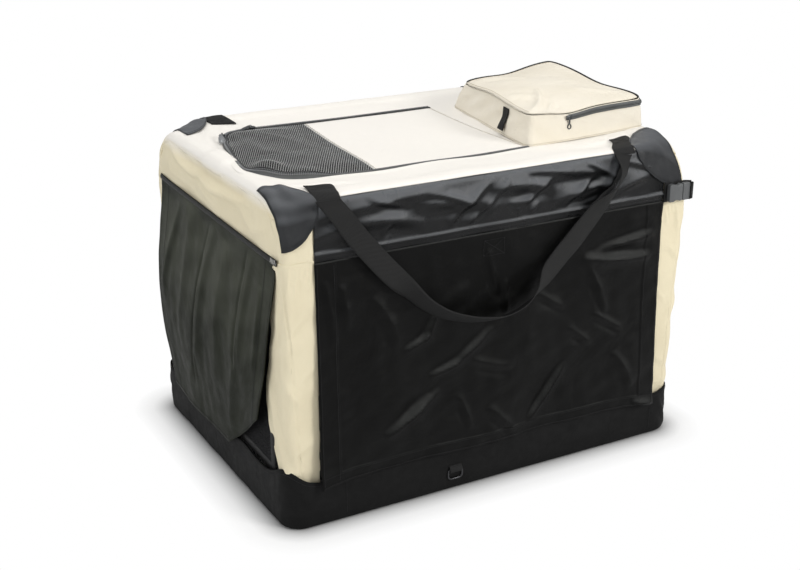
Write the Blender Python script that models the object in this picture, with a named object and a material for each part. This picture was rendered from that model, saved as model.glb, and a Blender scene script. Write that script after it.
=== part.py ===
# Folding fabric dog crate, 82 x 58 x 58 cm, as separate pieces.
# The floor is z = 0, the long front faces -Y, and the end with the roof hatch's open curve faces -X.
import math

import bmesh
import bpy
from mathutils import Matrix, Vector

# Outside of the fabric body, in metres
LENGTH = 0.812
WIDTH = 0.580
HEIGHT = 0.580
CLOTH = 0.0025
THIN_CLOTH = 0.0015
GAP = 0.0004
EDGE_RADIUS = 0.012
END_CORNER_RADIUS = 0.103
CORNER_BLEND = 0.105

# Fabric tray round the foot
TRAY_LENGTH = 0.818
TRAY_WIDTH = 0.585
TRAY_HEIGHT = 0.085
TRAY_CORNER = 0.032
TRAY_WALL = 0.0025
WALL_FOOT_Z = 0.0854
POST_FOOT_RADIUS = 0.020

# Welded and bent steel tubes
TUBE_RADIUS = 0.008
BASE_RING_Z = 0.022
ROOF_RING_Z = 0.5675
ROOF_RING_X = 0.386
HOOP_X = 0.392
PIVOT_LOW_Z = 0.0405
PIVOT_HIGH_Z = 0.549
KNEE_Z = (PIVOT_LOW_Z + PIVOT_HIGH_Z) / 2
LOWER_HOOP_Y = 0.2745
UPPER_HOOP_Y = 0.2565
LOWER_BEND = 0.050
UPPER_BEND = 0.100
TUBE_END_SPARE = 0.012
PIN_RADIUS = 0.003
PIN_HEAD = 0.0055
BORE_CLEARANCE = 0.0004

# Fabric panels of the body
WELT_Z = 0.477
POST_FRONT_WIDTH = 0.058
POST_SIDE_WIDTH = 0.055
HEM_Z = 0.060

# Corner patches, measured along the cloth from the middle of its bend
PATCH_DOWN = 0.064
PATCH_OVER = 0.078
PATCH_LIFT = 0.0024

# Roof hatch, pocket and handles
HATCH_LEFT = -0.365
HATCH_RIGHT = 0.130
HATCH_HALF = 0.175
HATCH_CORNER = 0.100
MESH_RIGHT = -0.152
SLIDER_INSET = 0.0068
BACK_SLIDER_X = -0.255
FRONT_SLIDER_ANGLE = 146
POCKET_LEFT = 0.147
POCKET_RIGHT = 0.402
POCKET_HALF = 0.170
POCKET_RISE = 0.052
POCKET_CROWN = 0.022
WEBBING = 0.038
WEBBING_THICK = 0.002
HANDLE_HALF = 0.295
HANDLE_DROP = 0.245

MATERIALS = {
    "beige_cloth": ((0.80, 0.72, 0.55), 0.85, 0.0),
    "black_cloth": ((0.015, 0.015, 0.016), 0.75, 0.0),
    "flap_cloth": ((0.022, 0.023, 0.021), 0.60, 0.0),
    "slate_cloth": ((0.045, 0.050, 0.058), 0.70, 0.0),
    "net": ((0.030, 0.032, 0.036), 0.70, 0.0),
    "fleece": ((0.62, 0.56, 0.45), 0.95, 0.0),
    "webbing": ((0.012, 0.012, 0.012), 0.80, 0.0),
    "steel_tube": ((0.05, 0.05, 0.055), 0.35, 0.8),
    "zinc": ((0.55, 0.56, 0.58), 0.30, 1.0),
    "grey_plastic": ((0.10, 0.11, 0.12), 0.45, 0.0),
    "black_plastic": ((0.02, 0.02, 0.02), 0.45, 0.0),
    "board": ((0.03, 0.03, 0.03), 0.70, 0.0),
}


def clear_scene():
    for obj in list(bpy.data.objects):
        bpy.data.objects.remove(obj, do_unlink=True)


def make_material(name):
    colour, roughness, metallic = MATERIALS[name]
    mat = bpy.data.materials.new(name)
    mat.use_nodes = True
    shader = mat.node_tree.nodes["Principled BSDF"]
    shader.inputs["Base Color"].default_value = (*colour, 1.0)
    shader.inputs["Roughness"].default_value = roughness
    shader.inputs["Metallic"].default_value = metallic
    return mat


def material(name):
    return bpy.data.materials.get(name) or make_material(name)


def axis_empty(name, place):
    """An empty on a joint's axis. What moves with the joint is its child."""
    empty = bpy.data.objects.new(name, None)
    empty.empty_display_size = 0.05
    empty.location = place
    bpy.context.scene.collection.objects.link(empty)
    return empty


def link(name, data, mat, parent=None, place=(0, 0, 0)):
    obj = bpy.data.objects.new(name, data)
    bpy.context.scene.collection.objects.link(obj)
    if not data.materials:
        data.materials.append(material(mat))
    obj.location = Vector(place) - (parent.location if parent else Vector())
    obj.parent = parent
    return obj


def mesh_from(bm, name, smooth=False):
    bmesh.ops.remove_doubles(bm, verts=bm.verts, dist=1e-6)
    bmesh.ops.recalc_face_normals(bm, faces=bm.faces)
    mesh = bpy.data.meshes.new(name)
    bm.to_mesh(mesh)
    bm.free()
    if smooth:
        mesh.shade_smooth()
        mesh.set_sharp_from_angle(angle=math.radians(40))
    return mesh


def solid(name, bm, mat, parent=None, smooth=False):
    return link(name, mesh_from(bm, name, smooth), mat, parent)


def smoothstep(t):
    t = min(max(t, 0.0), 1.0)
    return t * t * (3 - 2 * t)


def steps(low, high, count):
    return [low + (high - low) * i / count for i in range(count + 1)]


def arc_points(centre, radius, start, end, count):
    """Points round a circle in a plane, from one angle in degrees to another."""
    return [
        (centre[0] + radius * math.cos(math.radians(a)), centre[1] + radius * math.sin(math.radians(a)))
        for a in steps(start, end, count)
    ]


def rounded_outline(half_x, half_y, radius, count=5):
    """Plan outline of a rectangle with round corners, anticlockwise."""
    points = []
    for sx, sy, start in ((1, 1, 0), (-1, 1, 90), (-1, -1, 180), (1, -1, 270)):
        centre = (sx * (half_x - radius), sy * (half_y - radius))
        points += arc_points(centre, radius, start, start + 90, count)
    return points


def prism(bm, outline, low, high):
    """A closed upright prism on a plan outline."""
    bottom = [bm.verts.new((x, y, low)) for x, y in outline]
    face = bm.faces.new(bottom)
    top = bmesh.ops.extrude_face_region(bm, geom=[face])
    moved = [v for v in top["geom"] if isinstance(v, bmesh.types.BMVert)]
    bmesh.ops.translate(bm, verts=moved, vec=(0, 0, high - low))


def block(bm, low, high, bevel=0.0):
    """A closed box between two corners, with its edges broken."""
    size = [h - l for l, h in zip(low, high)]
    centre = [(l + h) / 2 for l, h in zip(low, high)]
    place = Matrix.Translation(centre) @ Matrix.Diagonal((*size, 1))
    made = bmesh.ops.create_cube(bm, size=1.0, matrix=place)
    if bevel:
        edges = {e for v in made["verts"] for e in v.link_edges}
        bmesh.ops.bevel(bm, geom=list(edges), offset=bevel, segments=2, profile=0.5, affect="EDGES")


def rod(bm, centre, radius, length, axis, sides=12):
    """A closed round bar about a centre, along a main axis."""
    turn = {"x": Matrix.Rotation(math.pi / 2, 4, "Y"), "y": Matrix.Rotation(math.pi / 2, 4, "X")}
    place = Matrix.Translation(centre) @ turn.get(axis, Matrix.Identity(4))
    bmesh.ops.create_cone(
        bm, cap_ends=True, segments=sides, radius1=radius, radius2=radius, depth=length, matrix=place
    )


def slab(bm, outer, inner):
    """A closed sheet between two equal grids of points, outer[i][j] and inner[i][j]."""
    rows, cols = len(outer), len(outer[0])
    out = [[bm.verts.new(p) for p in row] for row in outer]
    inn = [[bm.verts.new(p) for p in row] for row in inner]
    for i in range(rows - 1):
        for j in range(cols - 1):
            bm.faces.new((out[i][j], out[i + 1][j], out[i + 1][j + 1], out[i][j + 1]))
            bm.faces.new((inn[i][j], inn[i][j + 1], inn[i + 1][j + 1], inn[i + 1][j]))
    for i in range(rows - 1):
        for j in (0, cols - 1):
            bm.faces.new((out[i][j], out[i + 1][j], inn[i + 1][j], inn[i][j]))
    for j in range(cols - 1):
        for i in (0, rows - 1):
            bm.faces.new((out[i][j], out[i][j + 1], inn[i][j + 1], inn[i][j]))


def combine(obj, name, bm, operation):
    other = link(name, mesh_from(bm, name), "black_plastic")
    other.hide_render = True
    other.display_type = "WIRE"
    mod = obj.modifiers.new(name, "BOOLEAN")
    mod.operation = operation
    mod.solver = "EXACT"
    mod.object = other


def cut(obj, name, bm):
    """Takes a closed shape away from an object with a Boolean modifier."""
    combine(obj, name, bm, "DIFFERENCE")


def join(obj, name, bm):
    """Fuses a closed shape to an object with a Boolean modifier."""
    combine(obj, name, bm, "UNION")


# The steel frame

def curve_mesh(curve, name):
    """The mesh of a curve, so that a bore can be cut in it."""
    holder = bpy.data.objects.new(name + "_run", curve)
    bpy.context.scene.collection.objects.link(holder)
    bpy.context.view_layer.update()
    mesh = bpy.data.meshes.new_from_object(holder)
    bpy.data.objects.remove(holder, do_unlink=True)
    mesh.name = name
    mesh.shade_smooth()
    mesh.set_sharp_from_angle(angle=math.radians(40))
    return mesh


def tube(name, path, parent=None, closed=False):
    """A bent steel tube of one run, with closed ends."""
    curve = bpy.data.curves.new(name, "CURVE")
    curve.dimensions = "3D"
    curve.bevel_depth = TUBE_RADIUS
    curve.bevel_resolution = 2
    curve.use_fill_caps = True
    spline = curve.splines.new("POLY")
    spline.points.add(len(path) - 1)
    for point, place in zip(spline.points, path):
        point.co = (*place, 1.0)
    spline.use_cyclic_u = closed
    return link(name, curve_mesh(curve, name), "steel_tube", parent)


def ring(name, half_x, half_y, corner, z, parent=None):
    outline = rounded_outline(half_x, half_y, corner, 6)
    return tube(name, [(x, y, z) for x, y in outline], parent, closed=True)


def hoop(name, side, bar_z, knee_z, half_y, bend, parent):
    """A U of tube in an end plane: a crossbar, two bends and two uprights that run past the knee."""
    up = 1 if knee_z > bar_z else -1
    end_z = knee_z + up * TUBE_END_SPARE
    path = [(half_y, end_z)]
    corner = arc_points((half_y - bend, bar_z + up * bend), bend, 0, -90 * up, 6)
    path += corner
    path += [(-y, z) for y, z in reversed(corner)]
    path += [(-half_y, end_z)]
    return tube(name, [(side * HOOP_X, y, z) for y, z in path], parent)


def saddle(name, side, ring_x, ring_z, bar_z):
    """Moulded block that clamps the middle of a ring's end tube and carries a hoop's crossbar."""
    low_z, high_z = sorted((ring_z, bar_z))
    half_w, half_y = 0.0100, 0.030
    bm = bmesh.new()
    low = (min(ring_x, HOOP_X) - half_w, -half_y, low_z - TUBE_RADIUS - 0.0028)
    high = (max(ring_x, HOOP_X) + half_w, half_y, high_z + TUBE_RADIUS + 0.0016)
    block(bm, low, high, bevel=0.003)
    if side < 0:
        bmesh.ops.scale(bm, vec=(-1, 1, 1), verts=bm.verts)
    obj = solid(name, bm, "black_plastic")
    for word, x, z in (("clamp", ring_x, ring_z), ("bearing", HOOP_X, bar_z)):
        bore = bmesh.new()
        rod(bore, (side * x, 0, z), TUBE_RADIUS + BORE_CLEARANCE, 0.10, "y", 20)
        cut(obj, f"{name}_{word}", bore)
    return obj


def knee_pin(name, side, sy, parent):
    """Rivet through an upright of each hoop, with a round head at both ends."""
    middle = (LOWER_HOOP_Y + UPPER_HOOP_Y) / 2
    reach = (LOWER_HOOP_Y - UPPER_HOOP_Y) / 2 + TUBE_RADIUS + 0.0006
    at = Vector((side * HOOP_X, sy * middle, KNEE_Z))
    head = [(0.0, reach + 0.0022), (PIN_HEAD * 0.6, reach + 0.0020)]
    head += [(PIN_HEAD, reach + 0.0008), (PIN_HEAD, reach)]
    profile = head + [(PIN_RADIUS, reach), (PIN_RADIUS, -reach)] + [(r, -d) for r, d in reversed(head)]
    bm = bmesh.new()
    verts = [bm.verts.new(at + Vector((r, d, 0))) for r, d in profile]
    edges = [bm.edges.new(pair) for pair in zip(verts, verts[1:])]
    bmesh.ops.spin(bm, geom=verts + edges, cent=at, axis=(0, 1, 0), angle=math.tau, steps=12, use_merge=True)
    return solid(name, bm, "zinc", parent, smooth=True)


def drill_knee(obj, side, half_y, name):
    """The rivet's bore through both uprights of a hoop."""
    for word, sy in (("front", -1), ("back", 1)):
        bm = bmesh.new()
        rod(bm, (side * HOOP_X, sy * half_y, KNEE_Z), PIN_RADIUS + 0.0003, 4 * TUBE_RADIUS, "y", 12)
        cut(obj, f"{name}_{word}", bm)


def weld_stops(obj, side):
    """Bent stop plates on the lower hoop. Each reaches past the knee, and its lip takes the upper tube."""
    face_x, thick = HOOP_X - TUBE_RADIUS - GAP, 0.0018
    root_y, tip_y = LOWER_HOOP_Y + 0.0055, UPPER_HOOP_Y - TUBE_RADIUS
    for word, sy in (("front", -1), ("back", 1)):
        root = bmesh.new()
        xs = sorted((side * (face_x - thick), side * (HOOP_X - 0.0050)))
        ys = sorted((sy * (LOWER_HOOP_Y - 0.0060), sy * root_y))
        block(root, (xs[0], ys[0], KNEE_Z - 0.010), (xs[1], ys[1], KNEE_Z + 0.030))
        join(obj, f"{obj.name}_stop_root_{word}", root)
        lip = bmesh.new()
        xs = sorted((side * (face_x - thick), side * face_x))
        ys = sorted((sy * (LOWER_HOOP_Y - 0.0030), sy * tip_y))
        block(lip, (xs[0], ys[0], KNEE_Z + 0.0134), (xs[1], ys[1], KNEE_Z + 0.0297))
        join(obj, f"{obj.name}_stop_lip_{word}", lip)


def build_frame(axes):
    ring("base_ring", HOOP_X, 0.278, 0.038, BASE_RING_Z)
    ring("roof_ring", ROOF_RING_X, 0.272, 0.130, ROOF_RING_Z)
    for word, side in (("left", -1), ("right", 1)):
        saddle(word + "_base_saddle", side, HOOP_X, BASE_RING_Z, PIVOT_LOW_Z)
        saddle(word + "_roof_saddle", side, ROOF_RING_X, ROOF_RING_Z, PIVOT_HIGH_Z)
        low_axis, knee_axis = axes[word + "_base_pivot"], axes[word + "_knee"]
        lower = hoop(word + "_lower_hoop", side, PIVOT_LOW_Z, KNEE_Z, LOWER_HOOP_Y, LOWER_BEND, low_axis)
        upper = hoop(word + "_upper_hoop", side, PIVOT_HIGH_Z, KNEE_Z, UPPER_HOOP_Y, UPPER_BEND, knee_axis)
        weld_stops(lower, side)
        drill_knee(lower, side, LOWER_HOOP_Y, word + "_lower_bore")
        drill_knee(upper, side, UPPER_HOOP_Y, word + "_upper_bore")
        for short, sy in (("front", -1), ("back", 1)):
            knee_pin(f"{word}_{short}_knee_pin", side, sy, low_axis)


# The fabric body. Its cross-section has tight long edges, and the end corners open out to the hoops' bend.

def corner_radius(x):
    reach = smoothstep((abs(x) - (LENGTH / 2 - CORNER_BLEND)) / CORNER_BLEND)
    return EDGE_RADIUS + (END_CORNER_RADIUS - EDGE_RADIUS) * reach


def cover_point(x, s, side, inset):
    """A point of the cover. s runs from the middle of the long edge's bend, over the roof or down the wall.

    side is -1 for the front edge and 1 for the back edge, and inset is the depth below the outside."""
    r = corner_radius(x)
    quarter = r * math.pi / 4
    angle = math.pi / 4 + min(max(s, -quarter), quarter) / r
    over, down = max(s - quarter, 0.0), max(-s - quarter, 0.0)
    y = WIDTH / 2 - r + (r - inset) * math.cos(angle) - over
    z = HEIGHT - r + (r - inset) * math.sin(angle) - down
    return (x, side * y, z)


def wall_s(x, z):
    """The s of a height on the upright wall."""
    r = corner_radius(x)
    return -(r * math.pi / 4 + HEIGHT - r - z)


def roof_s(x, y):
    """The s of a distance from the centre line on the flat roof."""
    r = corner_radius(x)
    return r * math.pi / 4 + WIDTH / 2 - r - y


def bend_marks(x, low, high, rows=3):
    """s values between two limits, with the same rows round the bend on every piece of the cover."""
    quarter = corner_radius(x) * math.pi / 4
    inside = [m for m in steps(-quarter, quarter, 2 * rows) if low + 1e-4 < m < high - 1e-4]
    return [low] + inside + [high]


def cover_strip(bm, xs, low_of, high_of, side, depth, thick, spread=None):
    """A closed piece of the cover between two boundaries that may change with x."""
    outer, inner = [], []
    for x in xs:
        marks = bend_marks(x, low_of(x), high_of(x))
        if spread:
            marks = even_marks(marks, spread)
        outer.append([cover_point(x, s, side, depth) for s in marks])
        inner.append([cover_point(x, s, side, depth + thick) for s in marks])
    slab(bm, outer, inner)


def even_marks(marks, count):
    """The same number of rows at each station: extra ones halve the longest runs at the ends."""
    marks = list(marks)
    while len(marks) < count:
        first, last = marks[1] - marks[0], marks[-1] - marks[-2]
        if first > last:
            marks.insert(1, (marks[0] + marks[1]) / 2)
        else:
            marks.insert(-1, (marks[-1] + marks[-2]) / 2)
    return marks


def mirrored(values):
    return [-v for v in reversed(values)]


def end_stations(first, last):
    """Stations near an end. Pieces that lie on each other share them, so that their facets match."""
    places = [LENGTH / 2 - d for d in (0.013, 0.026, 0.042, POST_FRONT_WIDTH, 0.071, 0.088, CORNER_BLEND)]
    return [first] + [x for x in places if last + 0.002 < x < first - 0.002] + [last]


def roof_cover():
    """The roof panel, from the middle of one long bend to the other, with the hatch cut out."""
    end = LENGTH / 2
    right = list(reversed(end_stations(end - CLOTH - GAP, end - CORNER_BLEND)))
    bm = bmesh.new()
    outer, inner = [], []
    for x in mirrored(right) + right:
        quarter = corner_radius(x) * math.pi / 4
        row = [GAP] + steps(0.0, quarter, 3)[1:]
        for rows, depth in ((outer, 0.0), (inner, CLOTH)):
            front = [cover_point(x, s, -1, depth) for s in row]
            back = [cover_point(x, s, 1, depth) for s in reversed(row)]
            rows.append(front + back)
    slab(bm, outer, inner)
    obj = solid("roof_cover", bm, "beige_cloth")
    opening = bmesh.new()
    prism(opening, hatch_outline(0.0), HEIGHT - 0.02, HEIGHT + 0.02)
    cut(obj, "hatch_cutter", opening)
    return obj


def hatch_outline(inset, left=HATCH_LEFT, right=HATCH_RIGHT):
    """Plan of the hatch: a U whose round end is to the left."""
    half = HATCH_HALF - inset
    radius = HATCH_CORNER - inset
    left += inset
    right -= inset
    back = arc_points((left + radius, half - radius), radius, 90, 180, 6)
    front = arc_points((left + radius, -half + radius), radius, 180, 270, 6)
    return [(right, half)] + back + front + [(right, -half)]


def upper_panel(name, side):
    """The glossy strip between the roof's long edge and the welt."""
    end = LENGTH / 2
    right = list(reversed(end_stations(end - POST_FRONT_WIDTH - GAP, end - CORNER_BLEND)))
    bm = bmesh.new()
    cover_strip(
        bm,
        mirrored(right) + right,
        lambda x: wall_s(x, WELT_Z + GAP),
        lambda x: -GAP,
        side,
        0.0,
        CLOTH,
    )
    return solid(name, bm, "black_cloth")


def top_band(name, side):
    """Beige band over an end: the wall above the zip, and two shoulders that run on to the long sides."""
    end = LENGTH / 2
    inner_x = end - CLOTH
    bm = bmesh.new()

    def point(x, s, face_side, depth):
        px, py, pz = cover_point(x, s, face_side, depth)
        return bm.verts.new((side * px, py, pz))

    quarter = END_CORNER_RADIUS * math.pi / 4
    wall_marks = even_marks(bend_marks(end, wall_s(end, WELT_Z + GAP), -GAP), 6)
    roof_marks = steps(0.0, quarter, 3)[1:]
    face_loop, back_loop = [], []
    shoulders = []
    for face_side in (-1, 1):
        face_part = [point(end, s, face_side, 0.0) for s in wall_marks + roof_marks]
        rim_wall = [point(inner_x, s, face_side, 0.0) for s in wall_marks]
        rim_roof = [point(inner_x, s, face_side, 0.0) for s in roof_marks]
        inside = [point(inner_x, s, face_side, CLOTH) for s in wall_marks]
        rim = rim_wall + rim_roof
        for i in range(len(face_part) - 1):
            bm.faces.new((face_part[i], face_part[i + 1], rim[i + 1], rim[i]))
        back_part = inside + [rim_wall[-1]] + rim_roof
        if face_side < 0:
            face_loop += face_part
            back_loop += back_part
        else:
            face_loop += list(reversed(face_part))
            back_loop += list(reversed(back_part))
        shoulders.append((face_part[0], rim_wall[0], inside[0]))
        out_row, in_row = rim_wall, inside
        for x in end_stations(inner_x, end - POST_FRONT_WIDTH)[1:]:
            marks = even_marks(bend_marks(x, wall_s(x, WELT_Z + GAP), -GAP), len(wall_marks))
            new_out = [point(x, s, face_side, 0.0) for s in marks]
            new_in = [point(x, s, face_side, CLOTH) for s in marks]
            for i in range(len(marks) - 1):
                bm.faces.new((out_row[i], out_row[i + 1], new_out[i + 1], new_out[i]))
                bm.faces.new((in_row[i], new_in[i], new_in[i + 1], in_row[i + 1]))
            for i in (0, len(marks) - 1):
                bm.faces.new((out_row[i], new_out[i], new_in[i], in_row[i]))
            out_row, in_row = new_out, new_in
        for i in range(len(out_row) - 1):
            bm.faces.new((out_row[i], out_row[i + 1], in_row[i + 1], in_row[i]))
    bm.faces.new(face_loop)
    bm.faces.new(back_loop)
    front, back = shoulders
    bm.faces.new((front[0], back[0], back[1], back[2], front[2], front[1]))
    tops = [face_loop[len(wall_marks + roof_marks) - 1], face_loop[len(wall_marks + roof_marks)]]
    inner_tops = [back_loop[len(back_loop) // 2 - 1], back_loop[len(back_loop) // 2]]
    bm.faces.new((tops[0], tops[1], inner_tops[1], inner_tops[0]))
    return solid(name, bm, "beige_cloth")


def post_profile(sx, sy, corner, inset):
    """Plan path of a corner post: along the long side, round the corner, along the end."""
    half_x, half_y = LENGTH / 2 - inset, WIDTH / 2 - inset
    start = (LENGTH / 2 - POST_FRONT_WIDTH, half_y)
    radius = max(corner - inset, 0.001)
    bend = arc_points((half_x - radius, half_y - radius), radius, 90, 0, 5)
    finish = (half_x, WIDTH / 2 - POST_SIDE_WIDTH)
    return [(sx * x, sy * y) for x, y in [start] + bend + [finish]]


def corner_post(name, sx, sy):
    """Beige corner of the body, tight at the top and opened out to the tray's corner at the foot."""
    outer, inner = [], []
    for t in steps(0.0, 1.0, 6):
        z = WALL_FOOT_Z + (WELT_Z - GAP - WALL_FOOT_Z) * t
        bend = EDGE_RADIUS + (POST_FOOT_RADIUS - EDGE_RADIUS) * (1 - smoothstep(t * 1.6))
        outer.append([(x, y, z) for x, y in post_profile(sx, sy, bend, 0.0)])
        inner.append([(x, y, z) for x, y in post_profile(sx, sy, bend, CLOTH)])
    bm = bmesh.new()
    slab(bm, outer, inner)
    return solid(name, bm, "beige_cloth")


def net_panel(name, low, high, parent=None):
    bm = bmesh.new()
    block(bm, low, high)
    return solid(name, bm, "net", parent)


def build_body(axes):
    roof_cover()
    for word, sy in (("front", -1), ("back", 1)):
        upper_panel(word + "_upper_panel", sy)
        for short, sx in (("left", -1), ("right", 1)):
            corner_post(f"{word}_{short}_post", sx, sy)
    for word, sx in (("left", -1), ("right", 1)):
        top_band(word + "_top_band", sx)
    half_x = LENGTH / 2 - POST_FRONT_WIDTH - 2 * GAP
    half_y = WIDTH / 2 - POST_SIDE_WIDTH - 2 * GAP
    wall_y = WIDTH / 2 - 0.0005
    wall_x = LENGTH / 2 - 0.0005
    low, high, thin = WALL_FOOT_Z, WELT_Z - GAP, THIN_CLOTH
    net_panel("front_net_door", (-half_x, -wall_y, low), (half_x, thin - wall_y, high), axes["front_door"])
    net_panel("back_net_window", (-half_x, wall_y - thin, low), (half_x, wall_y, high))
    net_panel("left_net_door", (-wall_x, -half_y, low), (thin - wall_x, half_y, high), axes["left_door"])
    net_panel("right_net_window", (wall_x - thin, -half_y, low), (wall_x, half_y, high))


# The roll-up flaps, which hang loose from the welt on the long sides and from the zip on the ends

def long_flap(name, side, parent):
    """A long side's flap: nearly flat, with shallow sags and a hem that stands off the tray."""
    half = LENGTH / 2 - POST_FRONT_WIDTH + 0.006
    outer, inner = [], []
    for i, u in enumerate(steps(-1.0, 1.0, 16)):
        outer.append([])
        inner.append([])
        for v in steps(0.0, 1.0, 8):
            z = WELT_Z - 0.001 - (WELT_Z - HEM_Z - 0.001) * v
            off = 0.0008 + 0.0062 * smoothstep(v * 1.3)
            off += 0.0022 * v * (1 + math.sin(7.0 * u + 2.5 * v))
            off += 0.010 * v ** 6 * abs(u) ** 5
            y = WIDTH / 2 + off
            outer[-1].append((half * u, side * (y + THIN_CLOTH), z))
            inner[-1].append((half * u, side * y, z))
    bm = bmesh.new()
    slab(bm, outer, inner)
    return solid(name, bm, "flap_cloth", parent, smooth=True)


def end_flap(name, side, parent):
    """An end's flap: long upright folds that deepen towards a hem, which is drawn up at the front."""
    outer, inner = [], []
    for u in steps(0.0, 1.0, 28):
        outer.append([])
        inner.append([])
        for v in steps(0.0, 1.0, 8):
            top = -0.246 + 0.492 * u
            foot = -0.205 + 0.425 * u
            y = top + (foot - top) * smoothstep(v)
            hem = 0.062 + 0.110 * (1 - smoothstep(u / 0.42))
            z = WELT_Z - 0.001 + (hem - WELT_Z + 0.001) * v
            swell = 0.016 * math.sin(math.pi * min(v * 1.15, 1.0)) * math.sin(math.pi * u) ** 0.5
            fold = (0.0035 + 0.0065 * v) * v ** 0.5 * (1 + math.sin(2 * math.pi * (4.3 * u + 0.22 * v)))
            x = LENGTH / 2 + 0.0010 + 0.0050 * smoothstep(v * 1.5) + swell + fold
            outer[-1].append((side * (x + THIN_CLOTH), y, z))
            inner[-1].append((side * x, y, z))
    bm = bmesh.new()
    slab(bm, outer, inner)
    return solid(name, bm, "flap_cloth", parent, smooth=True)


def build_flaps(axes):
    long_flap("front_flap", -1, axes["front_flap"])
    long_flap("back_flap", 1, axes["back_flap"])
    end_flap("left_flap", -1, axes["left_flap"])
    end_flap("right_flap", 1, axes["right_flap"])


# The corner patches on top of the cover

def corner_patch(name, sx, sy):
    """Half-round patch that wraps the roof corner, laid out on the cover about the middle of its bend."""
    end = LENGTH / 2
    first, tip = end - CLOTH - 0.0005, end - 0.068

    def reach(x):
        return math.sqrt(max(1 - ((first - x) / (first - tip + 0.002)) ** 2, 0.0))

    xs = end_stations(first, tip)
    xs = xs[:-1] + [tip + 0.003, tip]
    outer, inner = [], []
    for x in xs:
        marks = steps(-PATCH_DOWN * reach(x), PATCH_OVER * reach(x), 14)
        outer.append([cover_point(x, s, sy, -PATCH_LIFT - THIN_CLOTH) for s in marks])
        inner.append([cover_point(x, s, sy, -PATCH_LIFT) for s in marks])
    outer = [[(sx * px, py, pz) for px, py, pz in row] for row in outer]
    inner = [[(sx * px, py, pz) for px, py, pz in row] for row in inner]
    bm = bmesh.new()
    slab(bm, outer, inner)
    return solid(name, bm, "slate_cloth", smooth=True)


def build_patches():
    for word, sy in (("front", -1), ("back", 1)):
        for short, sx in (("left", -1), ("right", 1)):
            corner_patch(f"{word}_{short}_patch", sx, sy)


# The tray, the floor and the mat

def base_tray():
    bm = bmesh.new()
    prism(bm, rounded_outline(TRAY_LENGTH / 2, TRAY_WIDTH / 2, TRAY_CORNER, 6), 0.0, TRAY_HEIGHT)
    obj = solid("base_tray", bm, "black_cloth")
    hollow = bmesh.new()
    inside = rounded_outline(
        TRAY_LENGTH / 2 - TRAY_WALL, TRAY_WIDTH / 2 - TRAY_WALL, TRAY_CORNER - TRAY_WALL, 6
    )
    prism(hollow, inside, CLOTH, TRAY_HEIGHT + 0.02)
    cut(obj, "tray_hollow", hollow)
    return obj


def floor_board():
    bm = bmesh.new()
    prism(bm, rounded_outline(0.380, 0.266, 0.030, 3), CLOTH + GAP, 0.0075)
    return solid("floor_board", bm, "board")


def floor_mat():
    """A thin pad: crowned on top, drawn in round its edge, with two sewn channels across it."""
    half_x, half_y, low, rise = 0.372, 0.250, 0.0080, 0.024
    outer, inner = [], []
    for u in steps(-1.0, 1.0, 18):
        outer.append([])
        inner.append([])
        for v in steps(-1.0, 1.0, 12):
            pull = 1 - 0.012 * (1 - abs(v) ** 4) * abs(u) ** 3
            pull_y = 1 - 0.016 * (1 - abs(u) ** 4) * abs(v) ** 3
            edge = (1 - abs(u) ** 8) * (1 - abs(v) ** 8)
            channel = min(abs(abs(u) - 1 / 3) * 9, 1.0)
            height = 0.006 + rise * 0.75 * edge ** 0.5 * (0.55 + 0.45 * smoothstep(channel))
            outer[-1].append((half_x * u * pull, half_y * v * pull_y, low + height))
            inner[-1].append((half_x * u * pull, half_y * v * pull_y, low))
    bm = bmesh.new()
    slab(bm, outer, inner)
    return solid("floor_mat", bm, "fleece", smooth=True)


# The roof's hatch, its zip sliders and pulls

def hatch_parts(axis):
    """The hatch lid in two sewn parts: net over the round end, cloth up to the fold line by the pocket."""
    outline = hatch_outline(0.0016)
    low, high = HEIGHT - CLOTH + 0.0006, HEIGHT - 0.0003
    net = bmesh.new()
    prism(net, clip_outline(outline, MESH_RIGHT - GAP, True), low, high)
    solid("hatch_net", net, "net", axis)
    cloth = bmesh.new()
    prism(cloth, clip_outline(outline, MESH_RIGHT, False), low, high)
    solid("hatch_cloth", cloth, "beige_cloth", axis)


def clip_outline(outline, x, keep_left):
    """The part of the hatch's outline to one side of a straight cut across it."""
    half = max(y for _, y in outline)
    kept = [p for p in outline if (p[0] < x) == keep_left]
    if keep_left:
        return [(x, half)] + kept + [(x, -half)]
    right = max(px for px, _ in outline)
    return [(right, half), (x, half), (x, -half), (right, -half)]


def slider(name, place, heading, parent):
    """A zip slider: a wedge body with a bridge for the pull. heading is its travel in degrees from +X."""
    bm = bmesh.new()
    block(bm, (-0.0055, -0.0045, 0.0), (0.0055, 0.0045, 0.0030), bevel=0.0010)
    turn = Matrix.Rotation(math.radians(heading), 4, "Z")
    bmesh.ops.transform(bm, matrix=turn, verts=bm.verts)
    obj = solid(name, bm, "zinc", None)
    obj.location = Vector(place) - (parent.location if parent else Vector())
    obj.parent = parent
    return obj


def pull_tab(name, place, heading, length, width, parent):
    """A flat pull with a hole near its tip. It slopes down from its root above the slider to the cloth."""
    bm = bmesh.new()
    half = width / 2
    outline = [(0.0, -half * 0.55)] + arc_points((length - half, 0), half, -90, 90, 6) + [(0.0, half * 0.55)]
    prism(bm, outline, -0.0006, 0.0006)
    turn = Matrix.Rotation(math.radians(heading), 4, "Z") @ Matrix.Rotation(math.radians(4.5), 4, "Y")
    bmesh.ops.transform(bm, matrix=turn, verts=bm.verts)
    obj = solid(name, bm, "zinc", None)
    obj.location = Vector(place) - parent.location
    obj.parent = parent
    hole = bmesh.new()
    rod(hole, (length - half, 0, 0), half * 0.45, 0.01, "z", 10)
    bmesh.ops.transform(hole, matrix=Matrix.Translation(place) @ turn, verts=hole.verts)
    cut(obj, name + "_hole", hole)
    return obj


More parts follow.
